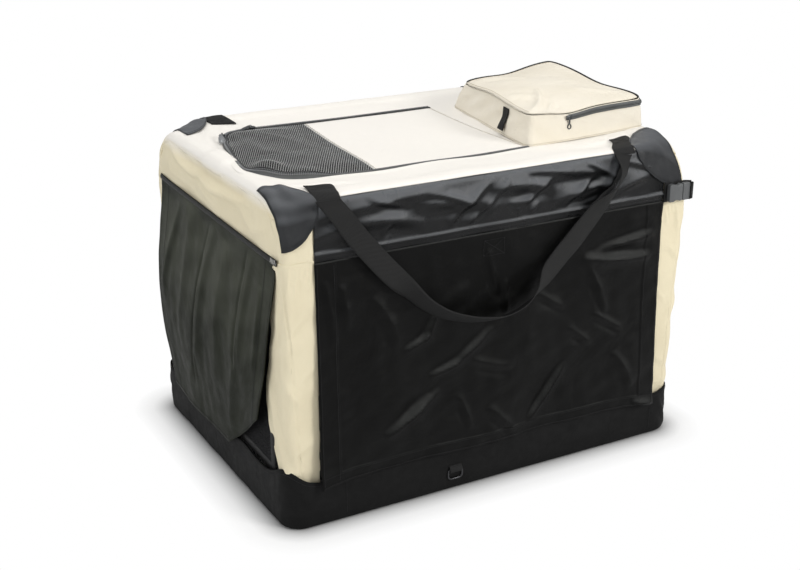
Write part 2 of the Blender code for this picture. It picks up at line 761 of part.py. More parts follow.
def build_hatch(axes):
    hatch_parts(axes["hatch"])
    top = HEIGHT + 0.0004
    rail = HATCH_HALF - SLIDER_INSET
    slider("hatch_back_slider", (BACK_SLIDER_X, rail, top), 0, axes["hatch_back_slider"])
    root = (BACK_SLIDER_X - 0.0068, rail, top + 0.0040)
    pull_tab("hatch_back_pull", root, 214, 0.036, 0.010, axes["hatch_back_pull"])
    turn = math.radians(FRONT_SLIDER_ANGLE)
    centre = Vector((HATCH_LEFT + HATCH_CORNER, HATCH_HALF - HATCH_CORNER, top))
    out = Vector((math.cos(turn), math.sin(turn), 0))
    at = centre + out * (HATCH_CORNER - SLIDER_INSET)
    slider("hatch_front_slider", at, FRONT_SLIDER_ANGLE + 90, axes["hatch_front_slider"])
    root = at + Vector((-out.y, out.x, 0)) * 0.0068 + Vector((0, 0, 0.0040))
    pull_tab("hatch_front_pull", root, FRONT_SLIDER_ANGLE + 104, 0.040, 0.010, axes["hatch_front_pull"])


# The roof pocket

def pocket_height(u, v):
    """Height of the pocket's top over the roof. u runs along the length, v across, both 0 to 1."""
    rim = POCKET_RISE + 0.010 * u + 0.006 * v
    crown = POCKET_CROWN * (math.sin(math.pi * u) * math.sin(math.pi * v)) ** 0.6
    return rim + crown * (0.55 + 0.45 * v)


def pocket_plan(u, v):
    x = POCKET_LEFT + (POCKET_RIGHT - POCKET_LEFT) * u
    return x, POCKET_HALF * (2 * v - 1)


def pocket_body():
    """Open-topped soft box sewn to the roof."""
    floor_z = HEIGHT + GAP
    rim_gap = 0.0006
    corners = rounded_outline((POCKET_RIGHT - POCKET_LEFT) / 2, POCKET_HALF, 0.022, 4)
    middle = (POCKET_LEFT + POCKET_RIGHT) / 2
    bm = bmesh.new()
    rings = []
    for inset in (0.0, CLOTH):
        scale_x = 1 - 2 * inset / (POCKET_RIGHT - POCKET_LEFT)
        scale_y = 1 - inset / POCKET_HALF
        low, high = [], []
        for x, y in corners:
            px, py = middle + x * scale_x, y * scale_y
            u = (px - POCKET_LEFT) / (POCKET_RIGHT - POCKET_LEFT)
            v = (py / POCKET_HALF + 1) / 2
            rim = HEIGHT + POCKET_RISE + 0.010 * u + 0.006 * v - rim_gap
            low.append(bm.verts.new((px, py, floor_z if inset == 0 else floor_z + CLOTH)))
            high.append(bm.verts.new((px, py, rim)))
        rings.append((low, high))
    (out_low, out_high), (in_low, in_high) = rings
    count = len(corners)
    for i in range(count):
        j = (i + 1) % count
        bm.faces.new((out_low[i], out_low[j], out_high[j], out_high[i]))
        bm.faces.new((out_high[i], out_high[j], in_high[j], in_high[i]))
        bm.faces.new((in_high[i], in_high[j], in_low[j], in_low[i]))
    bm.faces.new(list(reversed(out_low)))
    bm.faces.new(in_low)
    return solid("pocket_body", bm, "beige_cloth")


def pocket_lid(axis):
    """Crowned lid, sewn along its left edge and zipped round the other three."""
    outer, inner = [], []
    for u in steps(0.0, 1.0, 12):
        outer.append([])
        inner.append([])
        for v in steps(0.0, 1.0, 12):
            x, y = pocket_plan(u, v)
            trim = 0.006 * (2 * u - 1) ** 8 * (2 * v - 1) ** 8
            x += trim * (1 if u < 0.5 else -1)
            y += trim * (1 if v < 0.5 else -1)
            z = HEIGHT + pocket_height(u, v)
            outer[-1].append((x, y, z + CLOTH))
            inner[-1].append((x, y, z))
    bm = bmesh.new()
    slab(bm, outer, inner)
    return solid("pocket_lid", bm, "beige_cloth", axis, smooth=True)


def build_pocket(axes):
    pocket_body()
    pocket_lid(axes["pocket_lid"])
    rail_z = HEIGHT + POCKET_RISE - 0.006
    at = (0.212, -POCKET_HALF - 0.0004, rail_z)
    bm = bmesh.new()
    block(bm, (-0.0055, -0.0030, -0.0045), (0.0055, 0.0, 0.0045), bevel=0.0009)
    body = solid("pocket_slider", bm, "zinc", None)
    body.location = Vector(at) - axes["pocket_slider"].location
    body.parent = axes["pocket_slider"]
    drop = bmesh.new()
    outline = [(-0.0025, 0.0)] + arc_points((0.0, -0.018), 0.004, 180, 360, 6) + [(0.0025, 0.0)]
    face = drop.faces.new([drop.verts.new((x, 0.0, z)) for x, z in outline])
    made = bmesh.ops.extrude_face_region(drop, geom=[face])
    moved = [v for v in made["geom"] if isinstance(v, bmesh.types.BMVert)]
    bmesh.ops.translate(drop, verts=moved, vec=(0, -0.0012, 0))
    root = (at[0], at[1] - 0.0034, rail_z)
    pull = solid("pocket_pull", drop, "zinc", None)
    pull.location = Vector(root) - axes["pocket_pull"].location
    pull.parent = axes["pocket_pull"]
    hole = bmesh.new()
    rod(hole, (root[0], root[1], root[2] - 0.018), 0.0018, 0.01, "y", 10)
    cut(pull, "pocket_pull_hole", hole)


# The carrying handles

def handle_path(t):
    """Centre line of a hanging handle in X and Z, t from -1 to 1."""
    x = HANDLE_HALF * (0.86 * t + 0.14 * math.sin(math.pi * t / 2))
    z = HEIGHT - 0.012 - HANDLE_DROP * (1 - abs(t) ** 2.1)
    return x, z


def handle(name, side, parent):
    """A loop of webbing: flat to the wall where it hangs down, and turned on its side at the foot."""
    outer, inner = [], []
    for t in steps(-1.0, 1.0, 30):
        x, z = handle_path(t)
        x2, z2 = handle_path(t + 1e-4)
        along = Vector((x2 - x, 0, z2 - z)).normalized()
        turn = smoothstep((1 - abs(t)) / 0.75) * math.radians(68)
        in_plane = Vector((-along.z, 0, along.x))
        level = smoothstep((abs(t) - 0.86) / 0.14)
        in_plane = in_plane.lerp(Vector((1, 0, 0)), level).normalized()
        width = in_plane * math.cos(turn) + Vector((0, side, 0)) * math.sin(turn)
        normal = along.cross(width).normalized() * WEBBING_THICK / 2
        off = WIDTH / 2 + 0.0100 + abs(math.sin(turn)) * (WEBBING / 2 + 0.003)
        centre = Vector((x, side * off, z))
        edge = width * WEBBING / 2
        outer.append([tuple(centre - edge + normal), tuple(centre + edge + normal)])
        inner.append([tuple(centre - edge - normal), tuple(centre + edge - normal)])
    bm = bmesh.new()
    slab(bm, outer, inner)
    return solid(name, bm, "webbing", parent, smooth=True)


def handle_end(name, sx, side):
    """A handle's sewn end: it lies on the roof and turns down over the edge, where the loop hangs from it."""
    at = sx * HANDLE_HALF
    bend = EDGE_RADIUS + 0.0085
    runs = [(WIDTH / 2 - 0.072, HEIGHT + GAP), (WIDTH / 2 - 0.034, HEIGHT + GAP)]
    for a in steps(90, 30, 4):
        c, s = math.cos(math.radians(a)), math.sin(math.radians(a))
        runs.append((WIDTH / 2 - EDGE_RADIUS + bend * c, HEIGHT + GAP + EDGE_RADIUS * (s - 1)))
    outer, inner = [], []
    for i, (y, z) in enumerate(runs):
        before, after = runs[max(i - 1, 0)], runs[min(i + 1, len(runs) - 1)]
        normal = Vector((before[1] - after[1], after[0] - before[0])).normalized()
        lift = normal * WEBBING_THICK * (-1 if normal.y < -1e-6 else 1)
        for rows, (dy, dz) in ((inner, (0, 0)), (outer, tuple(lift))):
            rows.append([(at + half, side * (y + dy), z + dz) for half in (-WEBBING / 2, WEBBING / 2)])
    bm = bmesh.new()
    slab(bm, outer, inner)
    return solid(name, bm, "webbing", smooth=True)


# The closing strap with its buckle, and the ring at the foot

def buckle_parts(axes):
    """Side-release buckle on the front right corner, on a stub of webbing."""
    y0 = -WIDTH / 2 - 0.0060
    z0 = 0.490
    strap = bmesh.new()
    block(strap, (0.352, y0 + 0.0004, z0 - 0.019), (0.402, y0 + 0.0024, z0 + 0.019), bevel=0.0006)
    solid("closing_strap", strap, "webbing")
    female = bmesh.new()
    outline = [(0.384, -0.0165), (0.384, 0.0165), (0.358, 0.0165), (0.354, 0.0125)]
    outline += [(0.354, -0.0125), (0.358, -0.0165)]
    upright_prism(female, outline, y0 - 0.0092, y0)
    body = solid("buckle_body", female, "grey_plastic")
    pocket = bmesh.new()
    block(pocket, (0.362, y0 - 0.0072, z0 - 0.0125), (0.390, y0 - 0.0020, z0 + 0.0125))
    cut(body, "buckle_mouth", pocket)
    windows = bmesh.new()
    block(windows, (0.364, y0 - 0.0068, z0 - 0.030), (0.374, y0 - 0.0024, z0 + 0.030))
    cut(body, "buckle_windows", windows)
    male = bmesh.new()
    outline = [
        (0.3850, -0.0160),
        (0.4000, -0.0160),
        (0.4020, -0.0140),
        (0.4020, 0.0140),
        (0.4000, 0.0160),
        (0.3850, 0.0160),
        (0.3850, 0.0112),
        (0.3660, 0.0118),
        (0.3650, 0.0075),
        (0.3800, 0.0060),
        (0.3800, 0.0022),
        (0.3660, 0.0016),
        (0.3660, -0.0016),
        (0.3800, -0.0022),
        (0.3800, -0.0060),
        (0.3650, -0.0075),
        (0.3660, -0.0118),
        (0.3850, -0.0112),
    ]
    upright_prism(male, outline, y0 - 0.0066, y0 - 0.0026)
    solid("buckle_prongs", male, "grey_plastic", axes["buckle"])


def upright_prism(bm, outline, front_y, back_y, z0=0.490):
    """A closed plate that stands in X and Z, between two depths."""
    verts = [bm.verts.new((x, front_y, z0 + z)) for x, z in outline]
    face = bm.faces.new(verts)
    made = bmesh.ops.extrude_face_region(bm, geom=[face])
    moved = [v for v in made["geom"] if isinstance(v, bmesh.types.BMVert)]
    bmesh.ops.translate(bm, verts=moved, vec=(0, back_y - front_y, 0))


def foot_strap(axes):
    """Short webbing loop on the tray's front with a metal ring in it."""
    x0, y0 = -0.085, -TRAY_WIDTH / 2 - GAP
    outer, inner = [], []
    for a in steps(0, 180, 8):
        c, s = math.cos(math.radians(a)), math.sin(math.radians(a))
        for radius, rows in ((0.0095, outer), (0.0075, inner)):
            y, z = y0 - radius * s * 0.9, 0.042 - radius * c
            rows.append([(x0 - 0.0125, y, z), (x0 + 0.0125, y, z)])
    bm = bmesh.new()
    slab(bm, outer, inner)
    solid("foot_loop", bm, "webbing")
    ring_obj = bpy.data.curves.new("foot_ring", "CURVE")
    ring_obj.dimensions = "3D"
    ring_obj.bevel_depth = 0.0016
    ring_obj.bevel_resolution = 1
    spline = ring_obj.splines.new("POLY")
    path = [(x0 - 0.0150, 0.004), (x0 + 0.0150, 0.004)]
    path += arc_points((x0 + 0.0080, -0.010), 0.0070, 0, -90, 4)
    path += arc_points((x0 - 0.0080, -0.010), 0.0070, -90, -180, 4)
    spline.points.add(len(path) - 1)
    y = y0 - 0.0040
    for point, (px, pz) in zip(spline.points, path):
        point.co = (px, y, 0.0395 + pz, 1.0)
    spline.use_cyclic_u = True
    link("foot_ring", ring_obj, "zinc", axes["foot_ring"])


# Joint axes, as empties on which the moving pieces hang

def build_axes():
    top = HEIGHT
    places = {
        "left_base_pivot": (-HOOP_X, 0, PIVOT_LOW_Z),
        "right_base_pivot": (HOOP_X, 0, PIVOT_LOW_Z),
        "left_knee": (-HOOP_X, 0, KNEE_Z),
        "right_knee": (HOOP_X, 0, KNEE_Z),
        "front_door": (0, -WIDTH / 2 + 0.00125, WELT_Z - 0.0017),
        "left_door": (-LENGTH / 2 + 0.00125, 0, WELT_Z - 0.0017),
        "front_flap": (0, -WIDTH / 2 - 0.0016, WELT_Z - 0.001),
        "back_flap": (0, WIDTH / 2 + 0.0016, WELT_Z - 0.001),
        "left_flap": (-LENGTH / 2 - 0.0018, 0, WELT_Z - 0.001),
        "right_flap": (LENGTH / 2 + 0.0018, 0, WELT_Z - 0.001),
        "hatch": (HATCH_RIGHT, 0, top),
        "hatch_back_slider": (BACK_SLIDER_X, HATCH_HALF - SLIDER_INSET, top),
        "hatch_front_slider": (HATCH_LEFT + HATCH_CORNER, HATCH_HALF - HATCH_CORNER, top),
        "hatch_back_pull": (BACK_SLIDER_X - 0.0068, HATCH_HALF - SLIDER_INSET, top + 0.0044),
        "hatch_front_pull": (-0.3461, 0.1215, top + 0.0044),
        "pocket_lid": (POCKET_LEFT, 0, top + POCKET_RISE + 0.003),
        "pocket_slider": (0.212, -POCKET_HALF, top + POCKET_RISE - 0.006),
        "pocket_pull": (0.212, -POCKET_HALF - 0.0044, top + POCKET_RISE - 0.006),
        "front_handle": (0, -WIDTH / 2 - 0.0100, top - 0.012),
        "back_handle": (0, WIDTH / 2 + 0.0100, top - 0.012),
        "buckle": (0.384, -WIDTH / 2 - 0.009, 0.490),
        "foot_ring": (-0.085, -TRAY_WIDTH / 2 - 0.0044, 0.0435),
    }
    return {name: axis_empty("axis_" + name, Vector(place)) for name, place in places.items()}


def build():
    clear_scene()
    axes = build_axes()
    build_frame(axes)
    build_body(axes)
    build_flaps(axes)
    build_patches()
    base_tray()
    floor_board()
    floor_mat()
    build_hatch(axes)
    build_pocket(axes)
    for word, side in (("front", -1), ("back", 1)):
        handle(word + "_handle", side, axes[word + "_handle"])
        for short, sx in (("left", -1), ("right", 1)):
            handle_end(f"{word}_{short}_handle_end", sx, side)
    buckle_parts(axes)
    foot_strap(axes)


build()
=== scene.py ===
import math

import bpy
import numpy as np
from mathutils import Matrix, Vector


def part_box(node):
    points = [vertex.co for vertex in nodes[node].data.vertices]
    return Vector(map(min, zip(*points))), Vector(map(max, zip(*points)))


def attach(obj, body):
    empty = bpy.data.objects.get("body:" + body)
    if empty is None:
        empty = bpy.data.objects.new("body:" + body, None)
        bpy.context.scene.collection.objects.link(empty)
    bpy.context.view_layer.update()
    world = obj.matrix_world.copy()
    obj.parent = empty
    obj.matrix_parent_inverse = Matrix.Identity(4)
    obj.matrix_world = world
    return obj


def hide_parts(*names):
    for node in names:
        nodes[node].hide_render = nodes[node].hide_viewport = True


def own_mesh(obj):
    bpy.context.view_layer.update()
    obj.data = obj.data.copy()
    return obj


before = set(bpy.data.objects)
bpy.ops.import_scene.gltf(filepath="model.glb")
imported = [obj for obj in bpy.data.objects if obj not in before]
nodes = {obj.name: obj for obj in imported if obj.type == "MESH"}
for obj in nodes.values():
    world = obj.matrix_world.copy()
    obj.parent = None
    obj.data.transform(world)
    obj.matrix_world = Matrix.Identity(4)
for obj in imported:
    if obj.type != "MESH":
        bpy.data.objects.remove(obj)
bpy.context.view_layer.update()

crate = {
    "halfLength": 0.406,
    "halfWidth": 0.290,
    "top": 0.580,
    "welt": 0.477,
    "foot": 0.0854,
    "edgeRadius": 0.012,
    "cornerRadius": 0.103,
    "cornerReach": 0.105,
    "ridge": 0.017,
    "post": 0.058,
}
print("frame loaded,", len(nodes), "nodes")


# Small tools for all pieces

def deselectAll():
    if bpy.context.object and bpy.context.object.mode != "OBJECT":
        bpy.ops.object.mode_set(mode="OBJECT")
    bpy.ops.object.select_all(action="DESELECT")


def makeActive(obj):
    deselectAll()
    obj.select_set(True)
    bpy.context.view_layer.objects.active = obj


def applyModifier(obj, kind, **settings):
    makeActive(obj)
    mod = obj.modifiers.new(kind.title(), kind)
    for key, value in settings.items():
        setattr(mod, key, value)
    bpy.ops.object.modifier_apply(modifier=mod.name)


def settle(obj, name=None):
    makeActive(obj)
    bpy.ops.object.transform_apply(location=True, rotation=True, scale=True)
    if name:
        obj.name = name
        obj.data.name = name
    return obj


def joinPieces(name, parts):
    makeActive(parts[0])
    for part in parts[1:]:
        part.select_set(True)
    bpy.ops.object.join()
    return settle(parts[0], name)


def smoothShade(obj, angle=None):
    makeActive(obj)
    if angle is None:
        bpy.ops.object.shade_smooth()
    else:
        bpy.ops.object.shade_smooth_by_angle(angle=math.radians(angle))
    return obj


def smooth(t):
    t = np.clip(t, 0, 1)
    return t * t * (3 - 2 * t)


def marks(low, high, step, breaks=(), gap=0.0004):
    # even marks, with a close pair of marks on both sides of each break
    count = max(2, int(round((high - low) / step)))
    values = list(np.linspace(low, high, count + 1))
    for b in breaks:
        if low + gap < b < high - gap:
            values = [v for v in values if abs(v - b) > 2.5 * gap] + [b - gap, b + gap]
    return np.array(sorted(values))


def ripple(u, v, size, seed, count=7):
    # smooth uneven waves, the same on each run
    rng = np.random.default_rng(seed)
    total = np.zeros(np.broadcast(u, v).shape)
    for _ in range(count):
        angle, turn = rng.uniform(0, 2 * math.pi, 2)
        rate = 2 * math.pi / (size * rng.uniform(0.7, 1.6))
        total = total + np.sin((u * math.cos(angle) + v * math.sin(angle)) * rate + turn)
    return total / math.sqrt(count)


def crease(u, v, line):
    # a pinched fold from one point to another: u0, v0, u1, v1, half width, height, bow
    u0, v0, u1, v1, width, height, bow = line
    du, dv = u1 - u0, v1 - v0
    length = math.hypot(du, dv)
    t = ((u - u0) * du + (v - v0) * dv) / length ** 2
    d = ((u - u0) * dv - (v - v0) * du) / length + bow * 4 * t * (1 - t)
    along = np.where((t > 0) & (t < 1), np.sin(math.pi * np.clip(t, 0, 1)) ** 0.6, 0)
    return height * along * (np.exp(-np.abs(d / width) ** 1.5) - 0.45 * np.exp(-(d / width - 1.6) ** 2))


def creases(u, v, lines):
    return sum(crease(u, v, line) for line in lines)


def meshData(items, field, width=3):
    # one field of all of a mesh's points or faces, a row each
    values = np.zeros(len(items) * width, np.float32)
    items.foreach_get(field, values)
    return values.reshape(-1, width)


def gridPiece(name, us, vs, place, facing, cut=(1, 1), turned=False):
    # a sheet on a grid of marks, moved by place(u, v) to its points
    # its UV map is in metres of cloth: the marks times cut, or those turned by a quarter
    deselectAll()
    bpy.ops.mesh.primitive_grid_add(x_subdivisions=len(us) - 1, y_subdivisions=len(vs) - 1, size=1)
    obj = bpy.context.object
    obj.name = obj.data.name = name
    gridU, gridV = np.meshgrid(np.asarray(us, float), np.asarray(vs, float))
    xyz = np.stack(np.broadcast_arrays(*place(gridU, gridV)), axis=-1).reshape(-1, 3)
    obj.data.vertices.foreach_set("co", xyz.astype(np.float32).ravel())
    flat = (gridU * cut[0], gridV * cut[1])
    flat = np.stack(flat[::-1] if turned else flat, axis=-1).reshape(-1, 2)
    corner = np.zeros(len(obj.data.loops), np.int32)
    obj.data.loops.foreach_get("vertex_index", corner)
    obj.data.uv_layers[0].data.foreach_set("uv", flat[corner].astype(np.float32).ravel())
    obj.data.update()
    faces = obj.data.polygons
    away = facing(meshData(faces, "center")) if callable(facing) else np.array(facing, float)
    if (meshData(faces, "normal") * away).sum() < 0:
        obj.data.flip_normals()
    smoothShade(obj)
    return obj


def meshArea(obj):
    return float(meshData(obj.data.polygons, "area", 1).ravel().sum())


def setMaterial(obj, *mats):
    if len(obj.data.materials):
        obj.data.materials.clear()
    for mat in mats:
        obj.data.materials.append(mat)


def dropFaces(obj, unwanted):
    # takes away the faces whose centres the test picks
    picked = unwanted(meshData(obj.data.polygons, "center"))
    makeActive(obj)
    bpy.ops.object.mode_set(mode="EDIT")
    bpy.ops.mesh.select_all(action="DESELECT")
    bpy.ops.object.mode_set(mode="OBJECT")
    obj.data.polygons.foreach_set("select", picked)
    bpy.ops.object.mode_set(mode="EDIT")
    bpy.ops.mesh.select_mode(type="FACE")
    bpy.ops.mesh.delete(type="FACE")
    bpy.ops.object.mode_set(mode="OBJECT")


def mergeDoubles(obj, distance=0.00002):
    makeActive(obj)
    bpy.ops.object.mode_set(mode="EDIT")
    bpy.ops.mesh.select_all(action="SELECT")
    bpy.ops.mesh.remove_doubles(threshold=distance)
    bpy.ops.object.mode_set(mode="OBJECT")


def turnOutwards(obj):
    makeActive(obj)
    bpy.ops.object.mode_set(mode="EDIT")
    bpy.ops.mesh.select_all(action="SELECT")
    bpy.ops.mesh.normals_make_consistent(inside=False)
    bpy.ops.object.mode_set(mode="OBJECT")


def linkObject(name, data):
    obj = bpy.data.objects.new(name, data)
    bpy.context.scene.collection.objects.link(obj)
    return obj


def markTilt(obj):
    # how far each point of the cloth faces up, for the painted sheen of its folds
    up = meshData(obj.data.vertex_normals, "vector")[:, 2]
    layer = obj.data.attributes.new("tilt", "FLOAT", "POINT")
    layer.data.foreach_set("value", np.maximum(up, 0))


# A height, and the share of their own that soft pieces keep as the crate folds; here such pieces are only
# given meshes of their own
wallFold = (crate["foot"], 0.062)
patchFold = (crate["top"], 0.35)
handleFold = (0.568, 0.20)


def foldDown(obj, folds):
    if folds:
        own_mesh(obj)


def finishSheet(obj, mat, body, replaces, thick=0.0016, folds=None):
    # gives a sheet its thickness, finish and place in the frame
    area = meshArea(obj)
    applyModifier(obj, "SOLIDIFY", thickness=thick, offset=-1, use_even_offset=False)
    markTilt(obj)
    setMaterial(obj, *(mat if isinstance(mat, tuple) else (mat,)))
    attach(obj, body)
    if replaces:
        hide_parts(replaces)
    foldDown(obj, folds)


def copyAlong(name, template, frames, mat):
    # one mesh made of many copies of a small modelled piece, which is then removed
    co = meshData(template.data.vertices, "co")
    faces = [tuple(p.vertices) for p in template.data.polygons]
    verts, polys = [], []
    for i, matrix in enumerate(frames):
        m = np.array(matrix)
        verts.append(co @ m[:3, :3].T + m[:3, 3])
        polys += [tuple(k + i * len(co) for k in face) for face in faces]
    mesh = bpy.data.meshes.new(name)
    mesh.from_pydata(np.concatenate(verts).tolist(), [], polys)
    bpy.data.objects.remove(template)
    obj = linkObject(name, mesh)
    setMaterial(obj, mat)
    smoothShade(obj)
    return obj


def runOf(points):
    # the distance along a row of points
    return np.concatenate([[0], np.cumsum(np.linalg.norm(np.diff(points, axis=0), axis=1))])


def pathFrames(points, normals, pitch, start=0.0):
    # frames at an even pitch along a path: x along it, z along the normal
    run = runOf(points)

    def between(d, rows):
        return np.array([np.interp(d, run, rows[:, k]) for k in range(3)])

    frames = []
    for at in np.arange(start, run[-1], pitch):
        ahead = between(min(at + pitch * 0.4, run[-1]), points)
        behind = between(max(at - pitch * 0.4, 0), points)
        x = Vector(ahead - behind).normalized()
        z = Vector(between(at, normals))
        z = (z - x * z.dot(x)).normalized()
        y = z.cross(x)
        m = Matrix((x, y, z)).transposed().to_4x4()
        m.translation = Vector(between(at, points))
        frames.append(m)
    return frames


def surfacePath(place, us, vs, lift, side=1):
    # points and normals along marks on a sheet's surface, either of which may stay the same
    us, vs = np.broadcast_arrays(np.asarray(us, float), np.asarray(vs, float))
    step = 5e-4
    at = np.stack(np.broadcast_arrays(*place(us, vs)), -1)
    du = np.stack(np.broadcast_arrays(*place(us + step, vs)), -1) - at
    dv = np.stack(np.broadcast_arrays(*place(us, vs + step)), -1) - at
    n = np.cross(du, dv)
    n /= np.maximum(np.linalg.norm(n, axis=-1, keepdims=True), 1e-12)
    n *= side
    return at + n * lift, n


stitchLooks = {
    "dark": {"thread": "darkThread", "pitch": 0.0042, "width": 0.0007},
    "darkFine": {"thread": "darkThread", "pitch": 0.0036, "width": 0.0007},
    "cream": {"thread": "creamThread", "pitch": 0.0036, "width": 0.0006},
    "tack": {"thread": "whiteThread", "pitch": 0.0023, "width": 0.0011},
}


def stitchRows(name, rows, kind, body, folds=None):
    # rows of stitches on one body, each stitch a short thick thread
    look = stitchLooks[kind]
    frames = []
    for points, normals in rows:
        frames += pathFrames(points, normals, look["pitch"], 0.002)
    deselectAll()
    bpy.ops.mesh.primitive_cylinder_add(vertices=6, radius=0.5, depth=1)
    stitch = bpy.context.object
    stitch.rotation_euler = (0, math.pi / 2, 0)
    settle(stitch)
    stitch.scale = (look["pitch"] * 0.72, look["width"], 0.0005)
    settle(stitch)
    obj = copyAlong(name, stitch, frames, plain[look["thread"]])
    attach(obj, body)
    foldDown(obj, folds)


def toothRow(name, radius, depth, frames, mat, body):
    # the teeth of a zip, each a short bar across its line
    deselectAll()
    bpy.ops.mesh.primitive_cylinder_add(vertices=6, radius=radius, depth=depth)
    tooth = bpy.context.object
    tooth.rotation_euler = (math.pi / 2, 0, 0)
    settle(tooth)
    teeth = copyAlong(name, tooth, frames, mat)
    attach(teeth, body)


def tubeAlong(name, points, radius, mat, body, closed=False):
    # a round cord of trim along points, as a mesh
    curve = bpy.data.curves.new(name, "CURVE")
    curve.dimensions = "3D"
    curve.bevel_depth = radius
    curve.bevel_resolution = 2
    curve.use_fill_caps = True
    spline = curve.splines.new("POLY")
    spline.points.add(len(points) - 1)
    for point, place in zip(spline.points, points):
        point.co = (*place, 1)
    spline.use_cyclic_u = closed
    makeActive(linkObject(name, curve))
    bpy.ops.object.convert(target="MESH")
    obj = bpy.context.object
    setMaterial(obj, mat)
    smoothShade(obj, 50)
    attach(obj, body)
    return obj


# Finishes

def newMaterial(name, colour, roughness, gloss=0.5, metallic=0.0):
    mat = bpy.data.materials.new(name)
    mat.use_nodes = True
    shader = mat.node_tree.nodes["Principled BSDF"]
    shader.inputs["Base Color"].default_value = (*colour, 1)
    shader.inputs["Roughness"].default_value = roughness
    shader.inputs["Specular IOR Level"].default_value = gloss
    shader.inputs["Metallic"].default_value = metallic
    return mat, mat.node_tree.nodes, mat.node_tree.links, shader


def mapped(tree, links, socket, scale=(1, 1, 1), turn=0.0):
    node = tree.new("ShaderNodeMapping")
    node.inputs["Scale"].default_value = scale
    node.inputs["Rotation"].default_value = (0, 0, turn)
    links.new(socket, node.inputs["Vector"])
    return node.outputs["Vector"]


def noiseOf(tree, links, socket, scale, detail=3.0, distortion=0.0):
    node = tree.new("ShaderNodeTexNoise")
    node.inputs["Scale"].default_value = scale
    node.inputs["Detail"].default_value = detail
    node.inputs["Distortion"].default_value = distortion
    links.new(socket, node.inputs["Vector"])
    return node.outputs["Fac"]


def waveOf(tree, links, socket, pitch, direction="X"):
    node = tree.new("ShaderNodeTexWave")
    node.bands_direction = direction
    node.inputs["Scale"].default_value = math.pi / (10 * pitch)
    node.inputs["Distortion"].default_value = 0.0
    links.new(socket, node.inputs["Vector"])
    return node.outputs["Fac"]


def mathOf(tree, links, operation, a, b):
    node = tree.new("ShaderNodeMath")
    node.operation = operation
    for slot, value in ((0, a), (1, b)):
        if isinstance(value, (int, float)):
            node.inputs[slot].default_value = value
        else:
            links.new(value, node.inputs[slot])
    return node.outputs[0]


def rangeOf(tree, links, socket, low, high, fromLow=0.3, fromHigh=0.7):
    node = tree.new("ShaderNodeMapRange")
    node.inputs["From Min"].default_value = fromLow
    node.inputs["From Max"].default_value = fromHigh
    node.inputs["To Min"].default_value = low
    node.inputs["To Max"].default_value = high
    links.new(socket, node.inputs["Value"])
    return node.outputs["Result"]


def mixOf(tree, links, factor, first, second):
    node = tree.new("ShaderNodeMix")
    node.data_type = "RGBA"
    links.new(factor, node.inputs[0])
    for slot, value in ((6, first), (7, second)):
        if hasattr(value, "node"):
            links.new(value, node.inputs[slot])
        else:
            node.inputs[slot].default_value = (*value, 1)
    return node.outputs[2]


def bumpOf(tree, links, height, distance, strength=1.0, before=None):
    node = tree.new("ShaderNodeBump")
    node.inputs["Strength"].default_value = strength
    node.inputs["Distance"].default_value = distance
    links.new(height, node.inputs["Height"])
    if before is not None:
        links.new(before, node.inputs["Normal"])
    return node.outputs["Normal"]


# painted light: over these heights the cloth's colour turns paler, standing in for the brighter lit top
paintedTopLightHeights = (0.550, 0.571)


def mixOver(tree, links, shader, socket, limits, colour):
    # one more colour over the base colour so far, from one limit of a value to the other
    part = rangeOf(tree, links, socket, 0, 1, *limits)
    woven = shader.inputs["Base Color"].links[0].from_socket
    links.new(mixOf(tree, links, part, woven, colour), shader.inputs["Base Color"])


def clothMaterial(name, look):
    # woven and coated cloth: blotches of colour, a plain weave, and a fine crumple
    colour, shade = look["colour"], look["shade"]
    mat, tree, links, shader = newMaterial(name, colour, look["roughness"], look["gloss"])
    coords = tree.new("ShaderNodeTexCoord").outputs["UV"]
    blotch = noiseOf(tree, links, coords, look["blotch"], 4)
    tint = mixOf(tree, links, rangeOf(tree, links, blotch, 0, 1), colour, shade)
    warp = waveOf(tree, links, coords, look["weave"], "X")
    weft = waveOf(tree, links, coords, look["weave"], "Y")
    weave = mathOf(tree, links, "MULTIPLY", warp, weft)
    dark = tuple(c * look.get("gap", 0.8) for c in shade)
    links.new(
        mixOf(tree, links, rangeOf(tree, links, weave, 0.5, 0, 0.0, 0.5), tint, dark),
        shader.inputs["Base Color"]
    )
    rough = noiseOf(tree, links, coords, look["blotch"] * 5, 3)
    links.new(
        rangeOf(tree, links, rough, look["roughness"] - 0.06, look["roughness"] + 0.06),
        shader.inputs["Roughness"]
    )
    if "paintedTopLight" in look:  # painted light: a paler colour over the height of the roof's edge, for the brightly lit top
        height = tree.new("ShaderNodeSeparateXYZ")
        links.new(tree.new("ShaderNodeTexCoord").outputs["Object"], height.inputs[0])
        mixOver(tree, links, shader, height.outputs["Z"], paintedTopLightHeights, look["paintedTopLight"])
    if "paintedSheen" in look:  # painted sheen: a lighter colour where the cloth faces up
        tilt = tree.new("ShaderNodeAttribute")
        tilt.attribute_name = "tilt"
        mixOver(tree, links, shader, tilt.outputs["Fac"], look["paintedSheenFrom"], look["paintedSheen"])
    crumple = noiseOf(
        tree, links, mapped(tree, links, coords, look.get("stretch", (1, 1, 1)), 0.5), look["crumple"], 5, 0.6
    )
    fold = bumpOf(tree, links, crumple, look["crumpleHeight"])
    links.new(bumpOf(tree, links, weave, look["weave"] * 0.25, 0.6, fold), shader.inputs["Normal"])
    shader.inputs["Sheen Weight"].default_value = look.get("sheen", 0.0)
    shader.inputs["Sheen Roughness"].default_value = 0.4
    return mat


